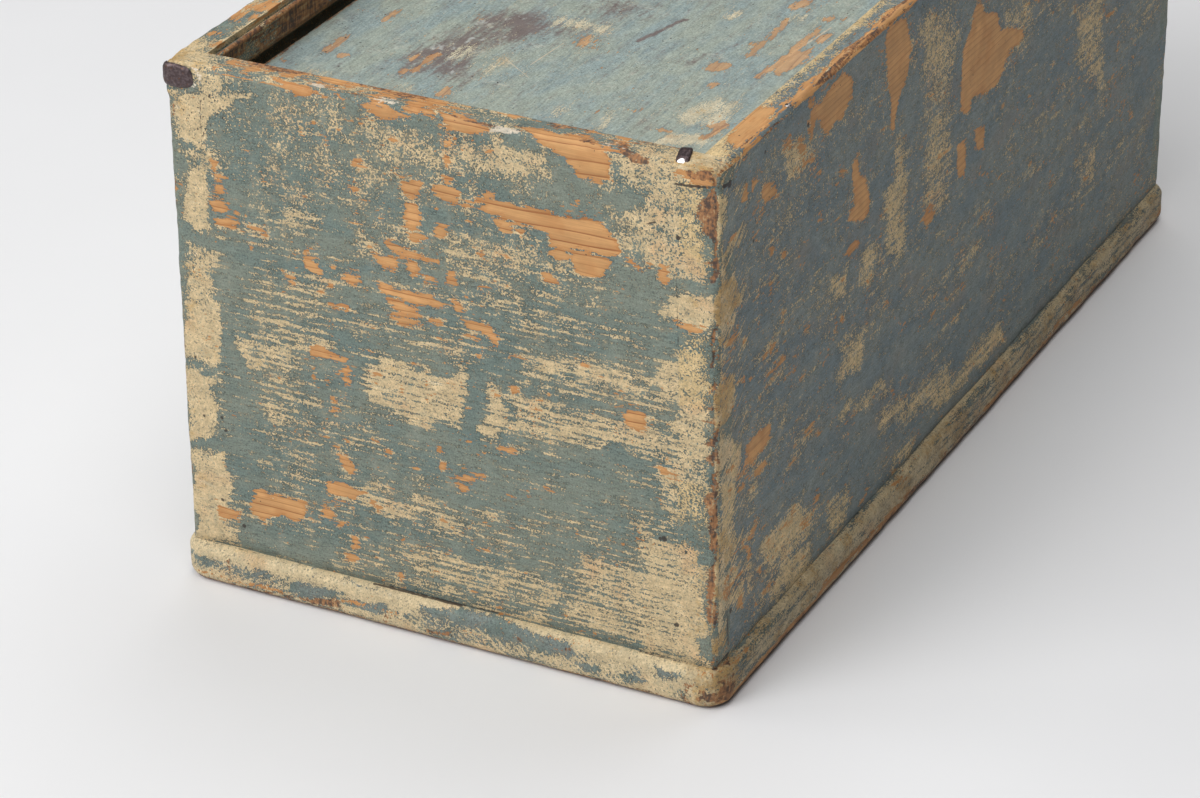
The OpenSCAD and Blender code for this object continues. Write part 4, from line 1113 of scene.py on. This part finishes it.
def cream_ground(m, ground):
    """The cream paint, with its stains of ochre, its pale dabs and its grey wash."""
    cream = m.shade(ground, m.grained(8, 1.0, 21, 2), 0.12)
    cream = m.toward(cream, CREAM_TAN, m.noise(11, 22, 2), 0.2, 1.1, 0.7)
    dabs = m.add(m.noise(9, 23, 2), (m.noise(1.3, 67, 2), 0.55), (m.field("ochre"), 1.5))
    cream = m.toward(cream, CREAM_OCHRE, dabs, 0.5, 1.9, 0.9)
    cream = m.toward(cream, CREAM_PALE, m.grained(9, 2, 24, 3), 0.3, 1.2, 0.5)
    wash = m.add(m.noise(1.5, 62, 2), (m.noise(7, 63), 0.5))
    cream = m.toward(cream, CREAM_WASHED, wash, 0.05, 1.0, 0.40)
    cream = m.shade(cream, m.noise(3.5, 73, 2), 0.13)
    return m.shade(cream, m.noise(0.55, 46, 2), 0.24)


def blue_paint(m, blue, bluer, fringe, veiled, hazed):
    """The blue paint in two tones, deeper round bare wood, and hazed with dirt where it isn't the front's."""
    tone = m.step(m.grained(26, 9, 25, 2), -0.5, 0.7)
    paint = m.blend(tone, blue, bluer)
    if hazed:
        paint = m.blend(m.field("on_front"), paint, m.blend(tone, WALL_BLUE, WALL_BLUER))
    paint = m.shade(paint, m.noise(0.5, 26, 2), 0.30)
    paint = m.shade(paint, m.grained(4, 0.7, 27, 2), 0.16)
    paint = m.blend(m.times(fringe, 0.35), paint, BLUE_UNDER)
    veil = m.add((m.noise((7, 7, 24), 74, 2), 0.8), (m.noise(1.0, 75), 0.3))
    paint = m.toward(paint, BLUE_VEIL, veil, 0.3, 1.1, veiled)
    if hazed:
        haze = m.step(m.grained(24, 14, 64, 2), 0.1, 1.0, hazed)
        paint = m.blend(m.times(haze, m.less(m.field("on_front"))), paint, BLUE_HAZE)
    return paint


def lid_marks(m, paint):
    """Streaks, stains, scuffs and scratches on the lid's paint."""
    streaks = m.add((m.grained(14, 1.0, 47, 3), 0.8), (m.noise(1.2, 48, 2), 0.5))
    paint = m.toward(paint, LID_PALE, streaks, 0.25, 1.1, 0.6)
    paint = m.toward(paint, LID_DEEP, streaks, -0.25, -1.1, 0.6)
    stain = m.add(m.field("stain"), (m.grained(9, 1.8, 28, 3), 0.45), (m.noise(1.1, 65, 2), 0.28))
    streak = m.step(m.cracks(LID_STREAK, (m.noise((1.3, 3.2, 1.3), 77, 2), 0.6)), 0.45, -0.25, 0.9)
    paint = m.blend(m.most(m.step(stain, 0.0, 0.95, 0.88), streak), paint, STAIN_DARK)
    worn = m.times(m.step(m.field("stain"), 0.3, 0.8), m.step(m.grained(5, 2.5, 29, 3), 0.30, 0.7))
    paint = m.blend(m.times(worn, 0.8), paint, STAIN_WORN)
    scuffs = m.add((m.noise((9, 6, 9), 70, 3), 0.7), (m.noise(1.3, 71, 2), 0.5))
    paint = m.toward(paint, LID_SCUFFED, scuffs, 0.35, 0.95, 0.55)
    return m.toward(paint, LID_SCRATCHED, m.cracks(SCRATCHES, (m.noise(1.6, 72), 0.10)), 0.16, -0.04, 0.8)


def painted(name, grain, heart, blue=WALL_BLUE, bluer=WALL_BLUER, pitch=1.7, rings=0.85,
            ground=(0.625, 0.485, 0.280), bare_share=1.0, flecked=0.55, edged=0.9, veiled=0.34, hazed=0.0,
            rough=0.60, marked=False, stained=False):
    """Worn blue paint over a cream ground on pine. The wear's places come from the piece's fields."""
    m = Look(name, grain)
    wood_color, wood_height, wave = pine(m, heart, pitch, contrast=rings)
    fine = m.noise(0.5, 11, 2)
    speckle = m.add((fine, 0.68), (m.noise(1.0, 12), 0.30), (m.noise(2.8, 13), 0.22))
    lines = m.add((fine, 0.50), (m.grained(5.5, 0.75, 14, 2, warp=0.7), 0.50), (m.grained(26, 2.1, 15), 0.28),
                  (wave, 0.20))
    grainy = m.mix(m.field("stripes"), speckle, lines)
    if marked:
        grainy = m.mix(m.field("stroked"), grainy, m.add((m.strokes(9, 0.9, 66), 0.65), (fine, 0.40)))

    # Bare wood, with a little cream left round it
    ragged = m.add((m.grained(4.5, 0.8, 16, 2), 1.0), (m.noise(0.6, 17), 0.3))
    in_wood = m.add(m.field("wood"), ragged)
    strays = m.add(m.grained(2.4, 0.9, 18, 2), (m.noise(14, 19), 0.4),
                   (m.step(m.field("wood"), -FAR, 0.0), 0.5))
    bare = m.most(m.step(in_wood, -0.05, 0.10), m.step(strays, 1.18, 1.26))
    fringe = m.step(in_wood, -1.1, -0.1)
    deep = m.add(m.step(in_wood, 1.2, 0.0, 0.5), m.step(m.noise(8, 43, 2), 0.0, 0.9, 0.35))
    wood_color = m.blend(deep, wood_color, WOOD_AGED)

    # Blue paint, darker beside the cream, and the cream where it shows
    rub = m.add(grainy, (m.field("cream"), 1.25), (fringe, 0.25), -0.60)
    shows = m.step(rub, -0.05, 0.07)
    faint = m.step(m.add((rub, 0.4), (m.noise(3.5, 20, 3), 0.5)), -0.1, 0.6, 0.32)
    cream = cream_ground(m, ground)
    paint = blue_paint(m, blue, bluer, fringe, veiled, hazed)
    near_cream = m.times(m.step(rub, -0.50, -0.10, edged), m.step(m.noise(4, 49, 2), -1.0, 0.5))
    paint = m.blend(near_cream, paint, m.shade(paint, 1.0, -0.60))
    if stained:
        paint = lid_marks(m, paint)
    color = m.blend(shows, m.blend(faint, paint, cream), cream)
    # Dark flecks along the grain: dirt in the pores, and painted shade of the paint's fine relief
    flecks = m.add((m.grained(1.8, 0.5, 40), 0.7), (m.noise(0.6, 41), 0.7), (m.noise(5, 42), 0.25))
    color = m.toward(color, DIRT_AND_SHADE, flecks, 0.42, 0.80, flecked)
    color = m.blend(m.times(bare, bare_share), color, wood_color)

    # Brown where hands and shelves have rubbed it
    rubbed = m.step(m.add(m.field("brown"), (ragged, 0.7), (m.noise(0.7, 30), 0.3)), -0.1, 0.25)
    rubbed = m.times(rubbed, m.less(m.step(m.noise(1.4, 68, 2), 0.55, 0.85, 0.75)))
    torn = m.add((m.noise((1.1, 1.1, 3.2), 31, 3), 0.8), (m.grained(6, 1.0, 45, 2), 0.5))
    brown = m.toward(BROWN_DARK, BROWN_BARE, torn, -0.5, 0.35)
    brown = m.toward(brown, BROWN_PALE, torn, 0.30, 0.8)
    color = m.blend(m.times(rubbed, 0.92), color, brown)

    # Darker low down, along the upright corners and over the base's right side, which is dirt together with
    # painted shade; then small dark pits, chalky chips, holes and cracks
    color = m.shade(color, m.add(m.noise(5, 33, 3), (m.field("grime_and_shade"), -3.0)), 0.09)
    pits = m.step(m.add(m.noise(0.9, 34, 0), (m.field("pitted"), 0.55)), 1.30, 1.45)
    if marked:
        chalk = m.step(m.add(m.field("chalk"), (ragged, 0.9), (m.noise(0.8, 76), 0.5)), 0.2, 0.6)
        color = m.blend(m.times(chalk, 0.85), color, m.shade(CHALK, m.noise(0.9, 69, 2), 0.3))
        gap = m.math("MINIMUM", m.holes(HOLES, (fine, 0.15)), m.cracks(CRACKS, (m.noise(1.2, 36), 0.15)))
        pits = m.most(pits, m.step(gap, 0.22, -0.05))
    color = m.blend(m.times(pits, 0.88), color, PIT)

    # The unpainted inside
    hidden = m.field("hidden")
    color = m.blend(hidden, color, m.shade(m.blend(0.55, wood_color, WOOD_INSIDE), m.noise(6, 35, 3), 0.2))
    gone = m.most(m.most(bare, rubbed), hidden)
    brushed = m.add((m.grained(3.5, 0.4, 37), 0.22), (fine, 0.12), (m.noise(2.2, 38), 0.15))
    m.relief(m.add(m.times(m.add(1.0, (shows, -0.4), brushed), m.less(gone)), (wood_height, 0.35)), 0.14, 0.8)
    return m.finish(color, m.add(rough, (gone, 0.10), (m.noise(2, 39), 0.05)))


def bare_pine(name, grain, heart):
    """Old bare pine, darkened, with dust in its pores."""
    m = Look(name, grain)
    color, height, _ = pine(m, heart, pale=(0.50, 0.30, 0.15), late=(0.30, 0.15, 0.06), contrast=0.8)
    color = m.toward(color, WOOD_DUSTY, m.noise(18, 41, 3), -0.2, 1.0, 0.5)
    color = m.shade(color, m.noise(1.2, 42, 2), 0.08)
    m.relief(height, 0.08, 0.6)
    return m.finish(color, m.add(0.7, (m.noise(3, 43), 0.06)), 0.3)


def iron(name, dark, light, rough, metal=0.7, rubbed=None):
    """Hammered iron, mottled brown-black and rust. Round the point given as rubbed it turns near white and
    smoother: rubbed metal, and a painted glint.
    """
    m = Look(name)
    color = m.toward(dark, light, m.noise(0.7, 52, 3), -0.5, 0.9)
    color = m.toward(color, RUST, m.noise(0.9, 53, 2), 0.45, 0.9, 0.7)
    rough = m.add(rough, (m.noise(0.8, 55), 0.08))
    if rubbed:
        # A near-white, smoother spot: rubbed metal, and a painted glint
        glint = m.step(m.add(m.vector("DISTANCE", m.mm, rubbed), (m.noise(1.0, 56), 0.2)), 1.15, 0.75)
        color = m.blend(glint, color, GLINT_IRON)
        rough = m.mix(glint, rough, 0.24)
    m.shader.inputs["Metallic"].default_value = metal
    m.relief(m.add(m.noise(1.6, 51, 2), (m.noise(0.4, 54), 0.3)), 0.08, 0.6)
    return m.finish(color, rough, 0.5)


front_paint = painted("wall_paint_front", 0, (0, -108, 185), marked=True)
right_paint = painted("wall_paint_right", 1, (40, 0, 60), (0.208, 0.244, 0.230), (0.158, 0.206, 0.218),
                      ground=(0.64, 0.48, 0.25), rings=0.5, hazed=0.4, veiled=0.2, marked=True)
left_paint = painted("wall_paint_left", 1, (-40, 0, 110), marked=True, hazed=0.3)
back_paint = painted("wall_paint_back", 0, (0, 120, 80))
lid_paint = painted("lid_paint", 1, (20, 0, 60), (0.350, 0.395, 0.335), (0.290, 0.362, 0.352),
                    ground=(0.60, 0.54, 0.385), pitch=1.9, bare_share=0.72, flecked=0.22, edged=0.35,
                    rough=0.52, stained=True)
base_paint = painted("base_paint", 1, (-30, 0, -60), (0.200, 0.235, 0.215), ground=(0.63, 0.505, 0.305),
                     marked=True)
pine_across = bare_pine("bare_pine_across", 0, (0, 60, 30))
pine_along = bare_pine("bare_pine_along", 1, (60, 0, 40))
# The top corner nail's front end carries a painted glint on its rubbed spot
dark_iron = iron("forged_iron", (0.080, 0.055, 0.056), (0.155, 0.118, 0.120), 0.42,
                 rubbed=(77.1, -186.4, 174.2))
bright_iron = iron("rubbed_iron", (0.25, 0.22, 0.20), (0.62, 0.60, 0.58), 0.30, metal=0.9)

# ---------------------------------------------------------------- pieces

# How deep the finely cut skin of the walls is, and the spacing of the cuts elsewhere, in mm
SKIN, COARSE = 4.0, 9.0


def everything(_):
    return True


def outside(c):
    """Faces of the walls near their outside."""
    return min(HALF_W - abs(c.x), HALF_L - abs(c.y), RIM - c.z) < SKIN


def near_front(c):
    """Faces of the sides near the front arris, or on the rim."""
    return outside(c) and (c.y < -HALF_L + 22 or RIM - c.z < 2)


def lid_top(c):
    return c.z > LID_TOP - 3.2


def base_edge(c):
    """Faces of the base board outside the walls, or just under them."""
    return min(HALF_W + PROUD - abs(c.x), HALF_L + PROUD - abs(c.y)) < 7


for node, material, cuts in (
        ("front_board", front_paint, [(outside, (2.4, 3, 2.4))]),
        ("right_side", right_paint, [(near_front, (2.4, 3.6, 2.4)), (outside, (3.2, 4.4, 3.6))]),
        ("left_side", left_paint, [(near_front, (2.6, 3.6, 2.6)), (outside, (4, 6, 6))]),
        ("back_board", back_paint, [(outside, (4.8, 4, 4.8))])):
    dressed(node, [(everything, (COARSE, COARSE, COARSE)), *cuts], wear_walls, wall_fields,
            material, joined=True)
dressed("sliding_lid", [(everything, (20, 20, 20)), (lid_top, (3.2, 5, 3))], wear_lid, lid_fields,
        lid_paint, "lid")
dressed("base_board", [(base_edge, (3.6, 3.6, 3))], wear_base, base_fields, base_paint)
lump("front_corner_nail", dark_iron, (6.3, 3.8), 3.0, 1.2, 81, round_the_corner)
lump("top_corner_nail", dark_iron, (2.0, 4.9), 5.0, 0.8, 85, on_the_edge)
lump("rim_nail", bright_iron, (1.05, 1.0), 2.0, 0.55, 89, in_the_rim, 8, 28)
for node, material in (("long_divider", pine_along), ("cross_divider_front", pine_across),
                       ("cross_divider_middle", pine_across), ("cross_divider_back", pine_across),
                       ("base_nails", dark_iron)):
    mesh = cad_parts[node].data
    mesh.materials.clear()
    mesh.materials.append(material)

# ---------------------------------------------------------------- camera, floor and light


def fitted_camera():
    """The camera that took the photo, as fitted from the box's straight edges."""
    azimuth, elevation, roll = (math.radians(a) for a in (26.905, 27.968, -0.386))
    back = Vector((math.sin(azimuth) * math.cos(elevation), -math.cos(azimuth) * math.cos(elevation),
                   math.sin(elevation)))
    right = Vector((math.cos(azimuth), math.sin(azimuth), 0))
    up = back.cross(right)
    right, up = (math.cos(roll) * right + math.sin(roll) * up, -math.sin(roll) * right + math.cos(roll) * up)
    turn = Matrix((right, up, back)).transposed()
    camera = bpy.data.objects.new("camera", bpy.data.cameras.new("camera"))
    camera.data.lens = 125.73
    camera.data.sensor_width = 36
    camera.data.clip_end = 100
    camera.matrix_world = Matrix.Translation((0.53423, -1.13795, 0.6604)) @ turn.to_4x4()
    bpy.context.scene.collection.objects.link(camera)
    bpy.context.scene.camera = camera


def floor():
    """A plain studio floor, 16 m across."""
    m = Look("studio_floor")
    color = m.shade((0.86, 0.86, 0.87), m.noise(60, 61, 2), 0.006)
    mesh = bpy.data.meshes.new("floor")
    mesh.from_pydata([(-8, -8, 0), (8, -8, 0), (8, 8, 0), (-8, 8, 0)], [], [(0, 1, 2, 3)])
    mesh.materials.append(m.finish(color, 0.75, 0.2))
    sheet = bpy.data.objects.new("floor", mesh)
    bpy.context.scene.collection.objects.link(sheet)


def soft_light(name, place, size, power):
    """A round white lamp that shines at the box."""
    data = bpy.data.lights.new(name, "AREA")
    data.shape = "DISK"
    data.size = size
    data.energy = power
    light = bpy.data.objects.new(name, data)
    light.location = place
    light.rotation_euler = (Vector((0, 0, 0)) - Vector(place)).to_track_quat("-Z", "Y").to_euler()
    bpy.context.scene.collection.objects.link(light)


fitted_camera()
floor()
soft_light("overhead_back", (0, 1.0, 2.2), 2.0, 22.3)
soft_light("overhead_front", (0.3, -1.2, 2.2), 2.0, 22.5)
soft_light("left", (-2.0, -0.6, 1.5), 1.6, 11.0)
soft_light("key", (-1.0, -1.8, 1.5), 1.6, 26.0)
soft_light("fill", (-0.2, -2.2, 1.3), 1.6, 4.5)
world = bpy.data.worlds.new("studio")
world.use_nodes = True
world.node_tree.nodes["Background"].inputs["Color"].default_value = (0.98, 0.99, 1.0, 1)
world.node_tree.nodes["Background"].inputs["Strength"].default_value = 0.05
bpy.context.scene.world = world
bpy.context.scene.view_settings.view_transform = "Standard"
